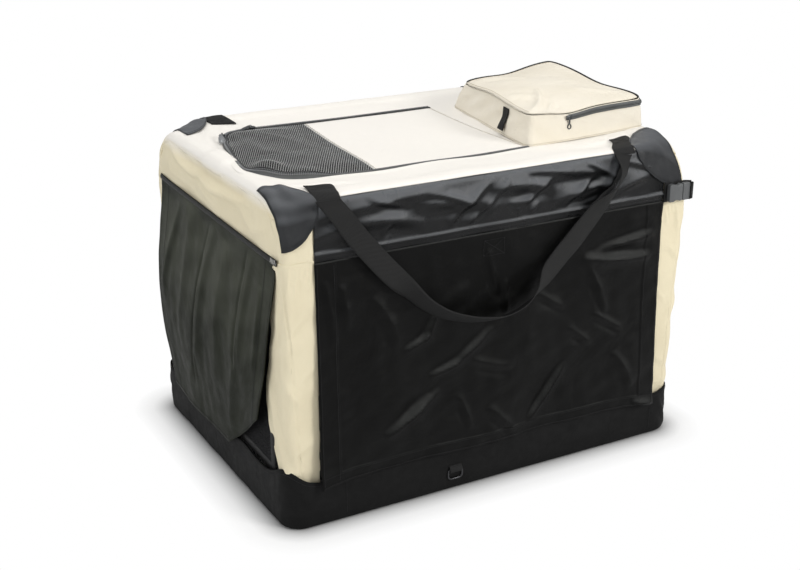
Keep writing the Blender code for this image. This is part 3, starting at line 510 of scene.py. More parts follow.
clothLooks = {
    "creamRoof": {
        "colour": (0.80, 0.73, 0.54), "shade": (0.75, 0.67, 0.48), "paintedTopLight": (0.83, 0.80, 0.75),
        "roughness": 0.72, "gloss": 0.25, "blotch": 5, "weave": 0.0007, "crumple": 45,
        "crumpleHeight": 0.0014, "gap": 0.88
    },
    "creamWall": {
        "colour": (0.80, 0.73, 0.54), "shade": (0.75, 0.67, 0.48), "paintedTopLight": (0.83, 0.80, 0.75),
        "roughness": 0.70, "gloss": 0.28, "blotch": 7, "weave": 0.0007, "crumple": 45,
        "crumpleHeight": 0.0016, "gap": 0.85
    },
    "creamPocket": {
        "colour": (0.84, 0.79, 0.69), "shade": (0.79, 0.73, 0.61), "roughness": 0.70, "gloss": 0.25,
        "blotch": 8, "weave": 0.0007, "crumple": 40, "crumpleHeight": 0.0020, "gap": 0.88
    },
    "blackGloss": {
        "colour": (0.0045, 0.0048, 0.0052), "shade": (0.0030, 0.0032, 0.0036), "paintedSheen": (0.098, 0.103, 0.110),
        "paintedSheenFrom": (0.00, 0.62), "roughness": 0.30, "gloss": 0.22, "blotch": 9, "weave": 0.0005,
        "crumple": 11, "crumpleHeight": 0.0016, "stretch": (1, 0.6, 1)
    },
    "blackFlap": {
        "colour": (0.0024, 0.0024, 0.0022), "shade": (0.0016, 0.0016, 0.0015), "paintedSheen": (0.030, 0.031, 0.030),
        "paintedSheenFrom": (0.08, 0.70), "roughness": 0.36, "gloss": 0.10, "blotch": 6, "weave": 0.0005, "crumple": 8,
        "crumpleHeight": 0.0070
    },
    "greenFlap": {
        "colour": (0.021, 0.0235, 0.0155), "shade": (0.011, 0.0125, 0.0085), "paintedSheen": (0.068, 0.072, 0.056),
        "paintedSheenFrom": (0.00, 0.26), "roughness": 0.52, "gloss": 0.05, "blotch": 7, "weave": 0.0005,
        "crumple": 11, "crumpleHeight": 0.0050
    },
    "slatePatch": {
        "colour": (0.017, 0.0185, 0.021), "shade": (0.011, 0.012, 0.0135), "paintedSheen": (0.085, 0.090, 0.098),
        "paintedSheenFrom": (0.42, 1.0), "roughness": 0.45, "gloss": 0.30, "blotch": 14, "weave": 0.0008,
        "crumple": 50, "crumpleHeight": 0.0012
    },
    "blackTray": {
        "colour": (0.0050, 0.0050, 0.0052), "shade": (0.0028, 0.0028, 0.0028), "roughness": 0.75,
        "gloss": 0.18, "blotch": 10, "weave": 0.0008, "crumple": 30, "crumpleHeight": 0.0024, "sheen": 0.02
    },
    "binding": {
        "colour": (0.008, 0.008, 0.008), "shade": (0.005, 0.005, 0.005), "roughness": 0.62, "gloss": 0.3,
        "blotch": 30, "weave": 0.0009, "crumple": 90, "crumpleHeight": 0.0006
    },
}
cloth = {name: clothMaterial(name, look) for name, look in clothLooks.items()}


def webbingMaterial(look):
    # woven strap with slanting ribs, which change side at the middle of its width
    mat, tree, links, shader = newMaterial("webbing", look["colour"], look["roughness"], 0.25)
    coords = tree.new("ShaderNodeTexCoord").outputs["UV"]
    ribs = waveOf(tree, links, mapped(tree, links, coords, (1, 1, 1), 0.9), look["rib"], "X")
    fine = waveOf(tree, links, coords, 0.0008, "Y")
    height = mathOf(tree, links, "ADD", ribs, mathOf(tree, links, "MULTIPLY", fine, 0.5))
    links.new(mixOf(tree, links, ribs, look["shade"], look["colour"]), shader.inputs["Base Color"])
    links.new(bumpOf(tree, links, height, 0.0005, 0.8), shader.inputs["Normal"])
    return mat


webbing = webbingMaterial(
    {"colour": (0.018, 0.018, 0.018), "shade": (0.004, 0.004, 0.004), "roughness": 0.66, "rib": 0.0021}
)


def netMaterial(look):
    # fine net for the doors and windows: threads round small holes
    mat, tree, links, shader = newMaterial("netting", look["colour"], 0.7, 0.1)
    coords = tree.new("ShaderNodeTexCoord").outputs["UV"]
    first = waveOf(tree, links, mapped(tree, links, coords, (1, 1, 1), math.radians(58)), look["pitch"], "X")
    second = waveOf(
        tree, links, mapped(tree, links, coords, (1, 1, 1), math.radians(-58)), look["pitch"], "X"
    )
    thread = mathOf(tree, links, "MAXIMUM", first, second)
    shown = mathOf(tree, links, "GREATER_THAN", thread, look["hole"])
    links.new(shown, shader.inputs["Alpha"])
    links.new(bumpOf(tree, links, thread, 0.0004), shader.inputs["Normal"])
    return mat


netting = netMaterial({"colour": (0.009, 0.009, 0.010), "pitch": 0.0021, "hole": 0.70})


def plainMaterial(name, look):
    # moulded, painted or metal finish with a fine grain and uneven gloss
    mat, tree, links, shader = newMaterial(
        name, look["colour"], look["roughness"], look.get("gloss", 0.5), look.get("metallic", 0.0)
    )
    coords = tree.new("ShaderNodeTexCoord").outputs["Object"]
    patch = noiseOf(tree, links, coords, look.get("patch", 40), 4)
    shade = tuple(c * look.get("shade", 0.8) for c in look["colour"])
    links.new(
        mixOf(tree, links, rangeOf(tree, links, patch, 0, 1), look["colour"], shade),
        shader.inputs["Base Color"]
    )
    grain = noiseOf(tree, links, coords, look.get("grain", 900), 2)
    links.new(
        rangeOf(tree, links, grain, look["roughness"] - 0.07, look["roughness"] + 0.07),
        shader.inputs["Roughness"]
    )
    links.new(bumpOf(tree, links, grain, look.get("height", 0.0001)), shader.inputs["Normal"])
    return mat


plainLooks = {
    "greyPlastic": {"colour": (0.090, 0.094, 0.097), "roughness": 0.42, "gloss": 0.5, "height": 0.00008},
    "blackPlastic": {"colour": (0.012, 0.012, 0.013), "roughness": 0.45, "height": 0.0001},
    "zipCoil": {"colour": (0.20, 0.205, 0.21), "roughness": 0.38, "gloss": 0.5},
    "gunMetal": {"colour": (0.10, 0.105, 0.11), "roughness": 0.34, "metallic": 0.9, "height": 0.00005},
    "paleMetal": {"colour": (0.42, 0.43, 0.44), "roughness": 0.30, "metallic": 0.9, "height": 0.00005},
    "zinc": {"colour": (0.55, 0.56, 0.58), "roughness": 0.28, "metallic": 1.0, "patch": 120},
    "darkMetal": {"colour": (0.060, 0.060, 0.064), "roughness": 0.30, "metallic": 0.9, "patch": 120},
    "powderCoat": {
        "colour": (0.055, 0.056, 0.060), "roughness": 0.48, "gloss": 0.5, "grain": 700, "height": 0.00015
    },
    "darkThread": {"colour": (0.018, 0.018, 0.019), "roughness": 0.6, "gloss": 0.3},
    "creamThread": {"colour": (0.46, 0.40, 0.28), "roughness": 0.75, "gloss": 0.2},
    "whiteThread": {"colour": (0.75, 0.74, 0.70), "roughness": 0.7, "gloss": 0.2},
    "netThread": {"colour": (0.36, 0.365, 0.36), "roughness": 0.45, "gloss": 0.5},
    "zipTape": {
        "colour": (0.105, 0.110, 0.110), "roughness": 0.60, "gloss": 0.3, "grain": 1400, "height": 0.0002
    },
    "zipTapeInner": {
        "colour": (0.012, 0.0125, 0.013), "roughness": 0.62, "gloss": 0.3, "grain": 1400, "height": 0.0002
    },
    "board": {"colour": (0.020, 0.020, 0.021), "roughness": 0.7, "gloss": 0.3},
}
plain = {name: plainMaterial(name, look) for name, look in plainLooks.items()}


def fleeceMaterial(look):
    # short curly pile of the mat
    mat, tree, links, shader = newMaterial("fleece", look["colour"], 0.95, 0.1)
    coords = tree.new("ShaderNodeTexCoord").outputs["Object"]
    curls = tree.new("ShaderNodeTexVoronoi")
    curls.inputs["Scale"].default_value = look["curls"]
    links.new(coords, curls.inputs["Vector"])
    tufts = noiseOf(tree, links, coords, look["curls"] * 0.4, 5, 0.5)
    links.new(
        mixOf(tree, links, rangeOf(tree, links, tufts, 0, 1), look["colour"], look["shade"]),
        shader.inputs["Base Color"]
    )
    pile = bumpOf(tree, links, curls.outputs["Distance"], 0.003, 0.8)
    links.new(bumpOf(tree, links, tufts, 0.004, 0.8, pile), shader.inputs["Normal"])
    shader.inputs["Sheen Weight"].default_value = 0.4
    return mat


fleece = fleeceMaterial({"colour": (0.050, 0.050, 0.052), "shade": (0.024, 0.024, 0.026), "curls": 190})
print("finishes made")


# Camera, lights and floor

camera = {
    "place": (-1.1855, -2.051, 1.1839),
    "azimuth": -0.5119,
    "down": 0.3659,
    "roll": 0.0052,
    "lens": 59.139,
    "sensor": 36,
    "far": 100,
}


def makeCamera(look):
    deselectAll()
    bpy.ops.object.camera_add(location=look["place"])
    obj = bpy.context.object
    ca, sa = math.cos(look["azimuth"]), math.sin(look["azimuth"])
    ce, se = math.cos(look["down"]), math.sin(look["down"])
    ahead = Vector((-sa * ce, ca * ce, -se))
    right = Vector((ca, sa, 0))
    up = right.cross(ahead)
    cr, sr = math.cos(look["roll"]), math.sin(look["roll"])
    turned = right * cr + up * sr
    up = up * cr - right * sr
    obj.rotation_euler = Matrix((turned, up, -ahead)).transposed().to_euler()
    obj.data.sensor_width = look["sensor"]
    obj.data.sensor_fit = "HORIZONTAL"
    obj.data.lens = look["lens"]
    obj.data.clip_end = look["far"]
    bpy.context.scene.camera = obj


makeCamera(camera)

lamps = {
    "keyLight": {"place": (1.35, -2.60, 1.85), "size": 0.95, "power": 57, "colour": (1.0, 0.99, 0.97)},
    "topLight": {"place": (-0.2, 0.3, 2.7), "size": 2.4, "power": 34, "colour": (1.0, 0.995, 0.985)},
    "leftLight": {"place": (-2.7, -0.9, 1.7), "size": 1.2, "power": 26, "colour": (0.98, 0.99, 1.0)},
}
for lampName, look in lamps.items():
    deselectAll()
    bpy.ops.object.light_add(type="AREA", location=look["place"])
    lamp = bpy.context.object
    lamp.name = lampName
    lamp.data.size = look["size"]
    lamp.data.energy = look["power"]
    lamp.data.color = look["colour"]
    lamp.rotation_euler = (Vector((0, 0, 0.3)) - Vector(look["place"])).to_track_quat("-Z", "Y").to_euler()

backdrop = {
    "ambient": 0.38, "floorColour": (0.92, 0.92, 0.92), "footprint": (0.37, 0.25), "paintedShadow": 0.22,
    "clearFrom": 0.038, "clearTo": 0.120, "paintedShadowFrom": 0.028, "paintedShadowTo": 0.083
}


def makeWorld(look):
    # even soft light from all round, and plain white behind the crate
    world = bpy.data.worlds.new("studio")
    bpy.context.scene.world = world
    world.use_nodes = True
    tree, links = world.node_tree.nodes, world.node_tree.links
    tree.clear()
    path = tree.new("ShaderNodeLightPath")
    soft, white = tree.new("ShaderNodeBackground"), tree.new("ShaderNodeBackground")
    for shader, strength in ((soft, look["ambient"]), (white, 1)):
        shader.inputs["Color"].default_value = (1, 1, 1, 1)
        shader.inputs["Strength"].default_value = strength
    mix, out = tree.new("ShaderNodeMixShader"), tree.new("ShaderNodeOutputWorld")
    direct = mathOf(
        tree, links, "MAXIMUM", path.outputs["Is Camera Ray"], path.outputs["Is Transmission Ray"]
    )
    links.new(direct, mix.inputs[0])
    links.new(soft.outputs[0], mix.inputs[1])
    links.new(white.outputs[0], mix.inputs[2])
    links.new(mix.outputs[0], out.inputs["Surface"])


def makeFloor(look):
    # pale floor that keeps the shadow near the crate, with a painted shadow darkening its colour right round
    # the footprint, and clears to white round it
    deselectAll()
    bpy.ops.mesh.primitive_plane_add(size=40, location=(0, 0, -0.0004))
    floor = settle(bpy.context.object, "floor")
    mat, tree, links, shader = newMaterial("floorPaper", look["floorColour"], 0.9, 0.1)
    coords = tree.new("ShaderNodeSeparateXYZ")
    links.new(tree.new("ShaderNodeTexCoord").outputs["Object"], coords.inputs[0])
    squares = []
    for axis, half in zip("XY", look["footprint"]):
        past = mathOf(tree, links, "SUBTRACT", mathOf(tree, links, "ABSOLUTE", coords.outputs[axis], 0), half)
        past = mathOf(tree, links, "MAXIMUM", past, 0)
        squares.append(mathOf(tree, links, "MULTIPLY", past, past))
    away = mathOf(tree, links, "SQRT", mathOf(tree, links, "ADD", *squares), 0)
    clear = rangeOf(tree, links, away, 0, 1, look["clearFrom"], look["clearTo"])
    # painted shadow: the floor's colour darkens towards the crate's footprint
    near = rangeOf(tree, links, away, 0, 1, look["paintedShadowFrom"], look["paintedShadowTo"])
    links.new(
        mixOf(tree, links, near, (look["paintedShadow"],) * 3, look["floorColour"]), shader.inputs["Base Color"]
    )
    path = tree.new("ShaderNodeLightPath")
    direct = mathOf(tree, links, "MAXIMUM", path.outputs["Is Camera Ray"], path.outputs["Is Glossy Ray"])
    seen = mathOf(tree, links, "MULTIPLY", clear, direct)
    glow, mix = tree.new("ShaderNodeEmission"), tree.new("ShaderNodeMixShader")
    links.new(seen, mix.inputs[0])
    links.new(shader.outputs[0], mix.inputs[1])
    links.new(glow.outputs[0], mix.inputs[2])
    links.new(mix.outputs[0], tree["Material Output"].inputs["Surface"])
    setMaterial(floor, mat)


makeWorld(backdrop)
makeFloor(backdrop)
bpy.context.scene.view_settings.view_transform = "Standard"
print("camera, lights and floor made")


# The cover's own surface, as the CAD body has it, with the ends rolled over softly

flatEnd = crate["halfLength"] - crate["ridge"]
ridgeRun = crate["ridge"] * math.pi / 2
coverRun = flatEnd + ridgeRun
postStart = crate["halfLength"] - crate["post"]
longSides = (("front", -1), ("back", 1))
ends = (("left", -1), ("right", 1))


def cornerRadius(x):
    reach = smooth((np.abs(x) - (crate["halfLength"] - crate["cornerReach"])) / crate["cornerReach"])
    return crate["edgeRadius"] + (crate["cornerRadius"] - crate["edgeRadius"]) * reach


def coverPoint(p, s, side, lift=0.0):
    # p runs along the crate and down over its end, s runs from the middle of the long edge up over the roof
    p, s = np.asarray(p, float), np.asarray(s, float)
    x = np.clip(p, -flatEnd, flatEnd)
    turn = np.clip((np.abs(p) - flatEnd) / crate["ridge"], 0, math.pi / 2)
    past = np.maximum(np.abs(p) - coverRun, 0)
    r = cornerRadius(x)
    quarter = r * math.pi / 4
    angle = math.pi / 4 + np.clip(s, -quarter, quarter) / r
    over, down = np.maximum(s - quarter, 0), np.maximum(-s - quarter, 0)
    ny, nz = np.cos(angle), np.sin(angle)
    drop = crate["ridge"] * (1 - np.cos(turn)) + past - lift * np.cos(turn)
    y = crate["halfWidth"] - r + r * ny - over - ny * drop
    z = crate["top"] - r + r * nz - down - nz * drop
    outX = x + np.sign(p) * (crate["ridge"] + lift) * np.sin(turn)
    return outX, side * y, z


def wallS(x, z):
    r = cornerRadius(np.clip(x, -flatEnd, flatEnd))
    return -(r * math.pi / 4 + crate["top"] - r - z)


def middleS(x):
    r = cornerRadius(np.clip(x, -flatEnd, flatEnd))
    return r * math.pi / 4 + crate["halfWidth"] - r


hatch = {
    "left": -0.365,
    "right": 0.130,
    "half": 0.175,
    "corner": 0.100,
    "netRight": -0.160,
    "netSlant": 0.030,
    "tape": 0.0104,
    "hem": 0.0110,
    "hemFrom": 0.0052,
    "gap": 0.0007,  # from the zip's line to each tape
    "billow": 0.010,
}


def roofSag(x, y):
    # the roof hangs a little between the ring's tubes
    fall = np.clip(1 - (x / 0.378) ** 4, 0, 1) * np.clip(1 - np.abs(y / 0.264) ** 3, 0, 1)
    return -roofLook["sag"] * fall


def hatchSkew(x, y):
    # the slack net pulls the hatch's round end askew
    pulled = 0.18 * np.clip(y, -0.1, 0.1) + 0.008 * np.exp(-((y - 0.10) / 0.035) ** 2)
    return pulled * smooth((-0.19 - x) / 0.12)


def hatchPath(step=0.006):
    # the zip's line round the hatch, from its front right end to its back right end
    half, radius, left, right = (hatch[key] for key in ("half", "corner", "left", "right"))
    straight = np.arange(right, left + radius, -step)
    turns = np.linspace(0, math.pi / 2, 26)
    front = [(x, -half) for x in straight]
    frontArc = [(left + radius - radius * math.sin(t), -half + radius - radius * math.cos(t)) for t in turns]
    side = [(left, y) for y in np.arange(-half + radius + step, half - radius, step)]
    backArc = [(left + radius - radius * math.cos(t), half - radius + radius * math.sin(t)) for t in turns]
    back = [(x, half) for x in straight[::-1]]
    path = np.array(front + frontArc + side + backArc + back)
    path[:, 0] += hatchSkew(path[:, 0], path[:, 1])
    return path


def inHatch(x, y, inset):
    half, radius = hatch["half"] - inset, hatch["corner"] - inset
    left = hatch["left"] + inset
    x = x - hatchSkew(x, y)
    inside = (x < hatch["right"]) & (x > left) & (np.abs(y) < half)
    dx, dy = (left + radius) - x, np.abs(y) - (half - radius)
    return inside & ~((dx > 0) & (dy > 0) & (dx * dx + dy * dy > radius * radius))


roofLook = {
    "folds": [
        (-0.388, 0.15, -0.372, -0.12, 0.007, 0.0030, 0.006),
        (-0.330, 0.20, -0.392, 0.05, 0.008, 0.0020, 0.0),
        (-0.352, -0.20, -0.250, -0.235, 0.007, 0.0022, 0.004),
        (0.20, -0.215, 0.33, -0.205, 0.010, 0.0018, 0.0),
    ],
    "waves": 0.0011,
    "overTubes": 0.0012,  # how far the cloth stands up over the ring's tubes
    "overSaddle": 0.0034,  # and over the saddle that holds the upper hoop
    "sag": 0.0080,  # and hangs down between the tubes
    "edgeDip": 0.0016,
    "thick": 0.0018,
    "step": 0.005,
}


def roofLift(x, y):
    # waves and folds, with none below the ring's tubes
    lift = roofLook["waves"] * ripple(x, y, 0.14, 3) + creases(x, y, roofLook["folds"])
    near = smooth((0.30 - np.abs(y)) / 0.05)
    lift = lift * (0.35 + 0.65 * near) * smooth((0.404 - np.abs(x)) / 0.02)
    tubes = np.maximum(smooth((np.abs(x) - 0.345) / 0.02), smooth((np.abs(y) - 0.245) / 0.015))
    raised = roofLook["overTubes"] * tubes * smooth((0.402 - np.abs(x)) / 0.006)
    return np.where(lift < 0, lift * (1 - tubes), lift) + raised


def roofPlace(p, v):
    side = np.where(v < 0, -1.0, 1.0)
    mid = middleS(p)
    s = 0.0003 + (mid - 0.0003) * (1 - np.abs(v))
    x, y, z = coverPoint(p, s, side)
    saddle = smooth((0.052 - np.abs(y)) / 0.022) * smooth((np.abs(p) - 0.362) / 0.022)
    dip = smooth((np.abs(p) - flatEnd - ridgeRun * 0.72) / (ridgeRun * 0.25))
    lift = roofLift(x, y) + roofLook["overSaddle"] * saddle - roofLook["edgeDip"] * dip
    x, y, z = coverPoint(p, s, side, lift)
    return x, y, z + roofSag(x, y)


def roofCloth():
    run, step, edge = coverRun + 0.003, roofLook["step"], crate["halfWidth"]
    across = np.concatenate([np.arange(0, 0.022, 0.0016), np.arange(0.022, edge, step), [edge]])
    vs = np.unique(np.concatenate([-(1 - across / edge), (1 - across / edge)]))
    obj = gridPiece("roofCloth", marks(-run, run, step), vs, roofPlace, (0, 0, 1), (1, edge))
    dropFaces(obj, lambda c: inHatch(c[:, 0], c[:, 1], -0.0035) & (c[:, 2] > 0.5))
    area = meshArea(obj)
    applyModifier(obj, "SOLIDIFY", thickness=roofLook["thick"], offset=-1)
    setMaterial(obj, cloth["creamRoof"])
    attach(obj, "roof")
    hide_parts("roof_cover")


roofCloth()
print("roof cloth made")


# Long sides above the welt

frontFolds = [
    (-0.300, 0.552, -0.110, 0.564, 0.011, 0.0050, 0.004),
    (-0.285, 0.532, -0.150, 0.512, 0.012, 0.0042, 0.006),
    (-0.190, 0.546, -0.020, 0.526, 0.012, 0.0046, 0.006),
    (-0.106, 0.500, -0.019, 0.568, 0.008, 0.0040, 0.006),
    (-0.030, 0.552, 0.110, 0.538, 0.011, 0.0048, 0.005),
    (0.030, 0.500, 0.100, 0.556, 0.008, 0.0038, 0.005),
    (0.070, 0.560, 0.215, 0.548, 0.010, 0.0046, 0.004),
    (0.100, 0.508, 0.235, 0.528, 0.011, 0.0044, 0.006),
    (0.180, 0.486, 0.245, 0.568, 0.008, 0.0046, -0.004),
    (0.215, 0.500, 0.320, 0.536, 0.011, 0.0042, 0.004),
    (-0.363, 0.509, -0.300, 0.530, 0.010, 0.0032, 0.0),
    (-0.345, 0.545, -0.295, 0.556, 0.007, 0.0026, 0.0),
    (-0.262, 0.572, -0.180, 0.545, 0.005, 0.0026, -0.003),
    (-0.150, 0.560, -0.070, 0.536, 0.005, 0.0028, 0.004),
    (-0.069, 0.497, 0.012, 0.566, 0.005, 0.0026, -0.004),
    (0.010, 0.521, 0.075, 0.530, 0.005, 0.0026, -0.004),
    (0.046, 0.569, 0.143, 0.560, 0.005, 0.0030, 0.002),
    (0.130, 0.497, 0.190, 0.545, 0.005, 0.0028, 0.004),
    (0.172, 0.570, 0.232, 0.536, 0.005, 0.0028, 0.003),
    (0.255, 0.562, 0.345, 0.530, 0.006, 0.0030, 0.003),
    (-0.230, 0.500, -0.215, 0.520, 0.004, 0.0018, 0.0),
    (-0.060, 0.496, -0.052, 0.514, 0.004, 0.0018, 0.0),
    (0.060, 0.495, 0.072, 0.514, 0.004, 0.0018, 0.0),
]
backFolds = [
    (-0.280, 0.560, -0.170, 0.500, 0.007, 0.0040, 0.004),
    (-0.200, 0.572, -0.080, 0.540, 0.006, 0.0036, 0.0),
    (-0.120, 0.498, -0.030, 0.565, 0.006, 0.0036, 0.004),
    (-0.020, 0.548, 0.120, 0.556, 0.006, 0.0036, 0.004),
    (0.060, 0.500, 0.150, 0.560, 0.006, 0.0040, -0.004),
    (0.160, 0.545, 0.290, 0.505, 0.007, 0.0040, 0.004),
    (0.220, 0.570, 0.330, 0.530, 0.006, 0.0034, 0.0),
]
panelLook = {
    "quietFrom": 0.352,
    "swell": 0.0062,
    "foldScale": 1.75,
    "waves": 0.0009,
    "hem": 0.0030,
    "hemTop": 0.4905,
    "thick": 0.0016,
}


def panelSwell(x, z):
    # the panel bellies out between the ring and the door, not under the patches
    quiet = smooth((panelLook["quietFrom"] - np.abs(x)) / 0.05)
    belly = np.sin(math.pi * np.clip((z - 0.492) / 0.085, 0, 1)) ** 0.9
    return panelLook["swell"] * quiet * belly * (0.8 + 0.2 * ripple(x, 0 * x, 0.22, 13))


def panelPlace(side):
    look, folds = panelLook, frontFolds if side < 0 else backFolds

    def place(x, t):
        low = wallS(x, crate["welt"] - 0.004)
        s = low + (-0.0004 - low) * t
        _, _, z = coverPoint(x, s, side)
        quiet = smooth((z - 0.488) / 0.012) * smooth((crate["top"] - z) / 0.008)
        quiet = quiet * (0.35 + 0.65 * smooth((look["quietFrom"] - np.abs(x)) / 0.05))
        waves = ripple(x, z * 1.8, 0.09, 11 if side < 0 else 12) * smooth((0.578 - z) / 0.02)
        hem = smooth((look["hemTop"] - z) / 0.0022) * (1 - 0.8 * smooth((0.4885 - z) / 0.013))
        lift = panelSwell(x, z) + look["foldScale"] * creases(x, z, folds) * quiet
        lift = lift + look["waves"] * waves + look["hem"] * hem
        return coverPoint(x, s, side, lift)

    return place


def upperPanels():
    end = postStart + 0.003
    for word, side in longSides:
        place = panelPlace(side)
        us = marks(-end, end, 0.0032)
        vs = np.unique(np.concatenate([np.linspace(0, 1, 38), [0.118, 0.124, 0.130]]))
        obj = gridPiece(word + "UpperPanel", us, vs, place, (0, side, 0.2), (1, 0.11))
        node, thick = word + "_upper_panel", panelLook["thick"]
        finishSheet(obj, cloth["blackGloss"], "base", node, thick, wallFold)
        run = np.linspace(-end + 0.004, end - 0.004, 180)
        rows = [surfacePath(place, run, v, 0.0004, -side) for v in (0.035, 0.085)]
        stitchRows(word + "PanelStitches", rows, "dark", "base", wallFold)


def shoulderPlace(sx, side):
    def place(p, t):
        low = wallS(p, crate["welt"] - 0.001)
        s = low + (0.0008 - low) * t
        x, y, z = coverPoint(p, s, side)
        lift = 0.0006 * ripple(x * 1.2, z, 0.05, 21 + side) - 0.0004
        # its inner edge dips under the panel
        lift = lift - 0.0018 * smooth((postStart + 0.007 - np.abs(p)) / 0.003)
        x, y, z = coverPoint(p, s, side, lift)
        return sx * x, y, z

    return place


endFolds = [
    (0.200, 0.560, 0.050, 0.536, 0.008, 0.0130, 0.004),
    (0.090, 0.546, -0.060, 0.538, 0.008, 0.0110, 0.004),
    (0.000, 0.534, -0.170, 0.546, 0.009, 0.0110, 0.003),
    (0.070, 0.520, -0.040, 0.506, 0.010, 0.0050, 0.0),
    (-0.10, 0.550, -0.200, 0.500, 0.012, 0.0036, 0.006),
    (-0.24, 0.520, -0.150, 0.492, 0.009, 0.0030, 0.004),
    (0.060, 0.500, 0.200, 0.512, 0.010, 0.0030, 0.004),
]


def endFacePlace(sx):
    pFace = coverRun - 0.0015
    low = float(wallS(pFace, crate["welt"]))
    mid = float(middleS(pFace))
    half = mid - low
    wide = crate["halfWidth"] - crate["ridge"]

    def place(a, v):
        side = np.where(a < 0, -1.0, 1.0)
        s = low + (1 - np.abs(a)) * half
        _, topY, topZ = coverPoint(np.full_like(a, pFace), s, side)
        bottomY = a * wide
        bottomZ = crate["welt"] + 0.004 + 0.004 * a + 0 * v
        y = bottomY + (topY - bottomY) * v
        z = bottomZ + (topZ - bottomZ) * v
        folds = 0.0022 * ripple(y, z * 1.6, 0.13, 31 if sx < 0 else 33) + 0.004 * np.sin(math.pi * v)
        folds = folds + creases(y, z, endFolds)
        inside = np.sin(math.pi * np.clip(v, 0, 1)) ** 0.5 * (1 - np.abs(a) ** 8)
        return sx * (crate["halfLength"] - 0.0006 + folds * inside), y, z

    return place


def endBands():
    acrossFace = np.concatenate([np.linspace(-1, 0, 75)[:-1], np.linspace(0, 1, 75)])
    alongShoulder = marks(postStart, coverRun + 0.003, 0.0035)
    for word, sx in ends:
        vs, place = np.linspace(0, 1, 22), endFacePlace(sx)
        parts = [gridPiece("face", acrossFace, vs, place, (sx, 0, 0), (0.33, 0.1))]
        for side in (-1, 1):
            place, away = shoulderPlace(sx, side), (0.3 * sx, side, 0.3)
            parts.append(gridPiece("shoulder", alongShoulder, np.linspace(0, 1, 26), place, away, (1, 0.1)))
        obj = joinPieces(word + "EndBand", parts)
        node = word + "_top_band"
        finishSheet(obj, cloth["creamWall"], "base", node, folds=wallFold)


upperPanels()
endBands()
print("bands and upper panels made")


# Corner posts, which lean in a little at the foot

postLook = {
    "top": 0.4785,
    "bottom": 0.074,
    "waves": 0.0009,
    "seamDepth": 0.0020,
    "swell": 0.0040,
    "sideWidths": (
        (0.07, 0.040), (0.11, 0.043), (0.16, 0.070), (0.21, 0.082), (0.245, 0.080), (0.33, 0.057),
        (0.48, 0.050)
    ),
    "folds": [
        (0.008, 0.470, 0.018, 0.425, 0.003, 0.0020, 0.0),
        (0.016, 0.472, 0.024, 0.440, 0.003, 0.0018, 0.0),
        (0.026, 0.472, 0.030, 0.445, 0.003, 0.0018, 0.0),
        (0.034, 0.472, 0.042, 0.415, 0.004, 0.0022, 0.0),
        (0.048, 0.470, 0.052, 0.430, 0.003, 0.0018, 0.0),
        (0.075, 0.300, 0.020, 0.215, 0.008, 0.0026, 0.004),
        (0.118, 0.270, 0.080, 0.140, 0.010, 0.0040, 0.006),
        (0.092, 0.200, 0.058, 0.085, 0.008, 0.0032, 0.0),
        (0.020, 0.390, 0.055, 0.350, 0.006, 0.0018, 0.0),
        (0.012, 0.165, 0.050, 0.135, 0.006, 0.0018, 0.0),
        (0.070, 0.420, 0.090, 0.330, 0.006, 0.0024, 0.0),
        (0.004, 0.300, 0.030, 0.275, 0.005, 0.0014, 0.0),
    ],
}


def postSeam(z):
    # the seam between the post's front and side, which wanders in on the front towards the foot
    return np.interp(z, (0.08, 0.109, 0.328, 0.43, 0.48), (0.033, 0.036, 0.048, 0.058, 0.060))


def postPlace(sx, sy):
    frontRun = crate["post"] + 0.0015
    heights, widths = zip(*postLook["sideWidths"])

    def place(b, z):
        # b runs round the corner from the long side's edge at 0 to the end's edge at 1
        t = np.clip((crate["top"] - 0.10 - z) / 0.395, 0, 1)
        radius = crate["ridge"] + 0.004 * smooth(t * 1.2 - 0.1)
        arc = radius * math.pi / 2
        first = frontRun - radius
        if sx < 0 and sy < 0:
            wide = np.interp(z, heights, widths)
        else:
            wide = 0.056 - 0.010 * smooth((0.2 - z) / 0.1)
        total = first + arc + np.maximum(wide - radius, 0.002)
        a = b * total
        phi = np.clip((a - first) / radius, 0, math.pi / 2)
        x = np.minimum(a, first) + radius * np.sin(phi)
        y = radius * (1 - np.cos(phi)) + np.maximum(a - first - arc, 0)
        nx, ny = np.sin(phi), np.cos(phi)
        lift = creases(a, z, postLook["folds"]) * smooth(a / 0.006)
        lift = lift + postLook["waves"] * ripple(a, z, 0.06, 41 + sx + 3 * sy)
        seam = np.exp(-((a - postSeam(z)) / 0.0011) ** 2) * smooth((0.47 - z) / 0.02)
        lift = lift - postLook["seamDepth"] * seam
        swell = postLook["swell"] * smooth((z - 0.25) / 0.2) * np.sin(math.pi * b) if sx > 0 else 0.0
        # nearer its foot the post goes into the tray
        lift = (np.maximum(lift, -0.0018) + swell) * smooth((z - 0.086) / 0.045)
        lift = lift - 0.0022 * smooth((0.112 - z) / 0.02)
        lean = 0.0008 * smooth(t * 1.35 - 0.35)
        px = crate["halfLength"] - frontRun + x + nx * lift - lean * (0.3 + 0.7 * nx)
        py = crate["halfWidth"] - 0.0006 - y + ny * lift - lean * ny
        return sx * px, sy * py, z

    return place


def cornerPosts():
    for word, sy in longSides:
        for short, sx in ends:
            place = postPlace(sx, sy)
            us = np.linspace(0, 1, 56)
            vs = marks(postLook["bottom"], postLook["top"], 0.0042)
            name = word + short.title() + "Post"
            obj = gridPiece(name, us, vs, place, (sx, sy, 0), (0.12, 1))
            node, on = f"{word}_{short}_post", ["base_tray"]
            finishSheet(obj, cloth["creamWall"], "base", node, folds=wallFold)
            zs = np.linspace(0.085, 0.472, 160)
            rows = [surfacePath(place, postSeam(zs) / 0.119 + 0.022, zs, 0.0003, sx * sy)]
            rows.append(surfacePath(place, np.linspace(0.01, 0.99, 50), 0.4735, 0.0003, sx * sy))
            stitchRows(name + "Stitches", rows, "cream", "base", wallFold)


cornerPosts()
print("corner posts made")


# Nets of the doors and windows, with a sewn edge

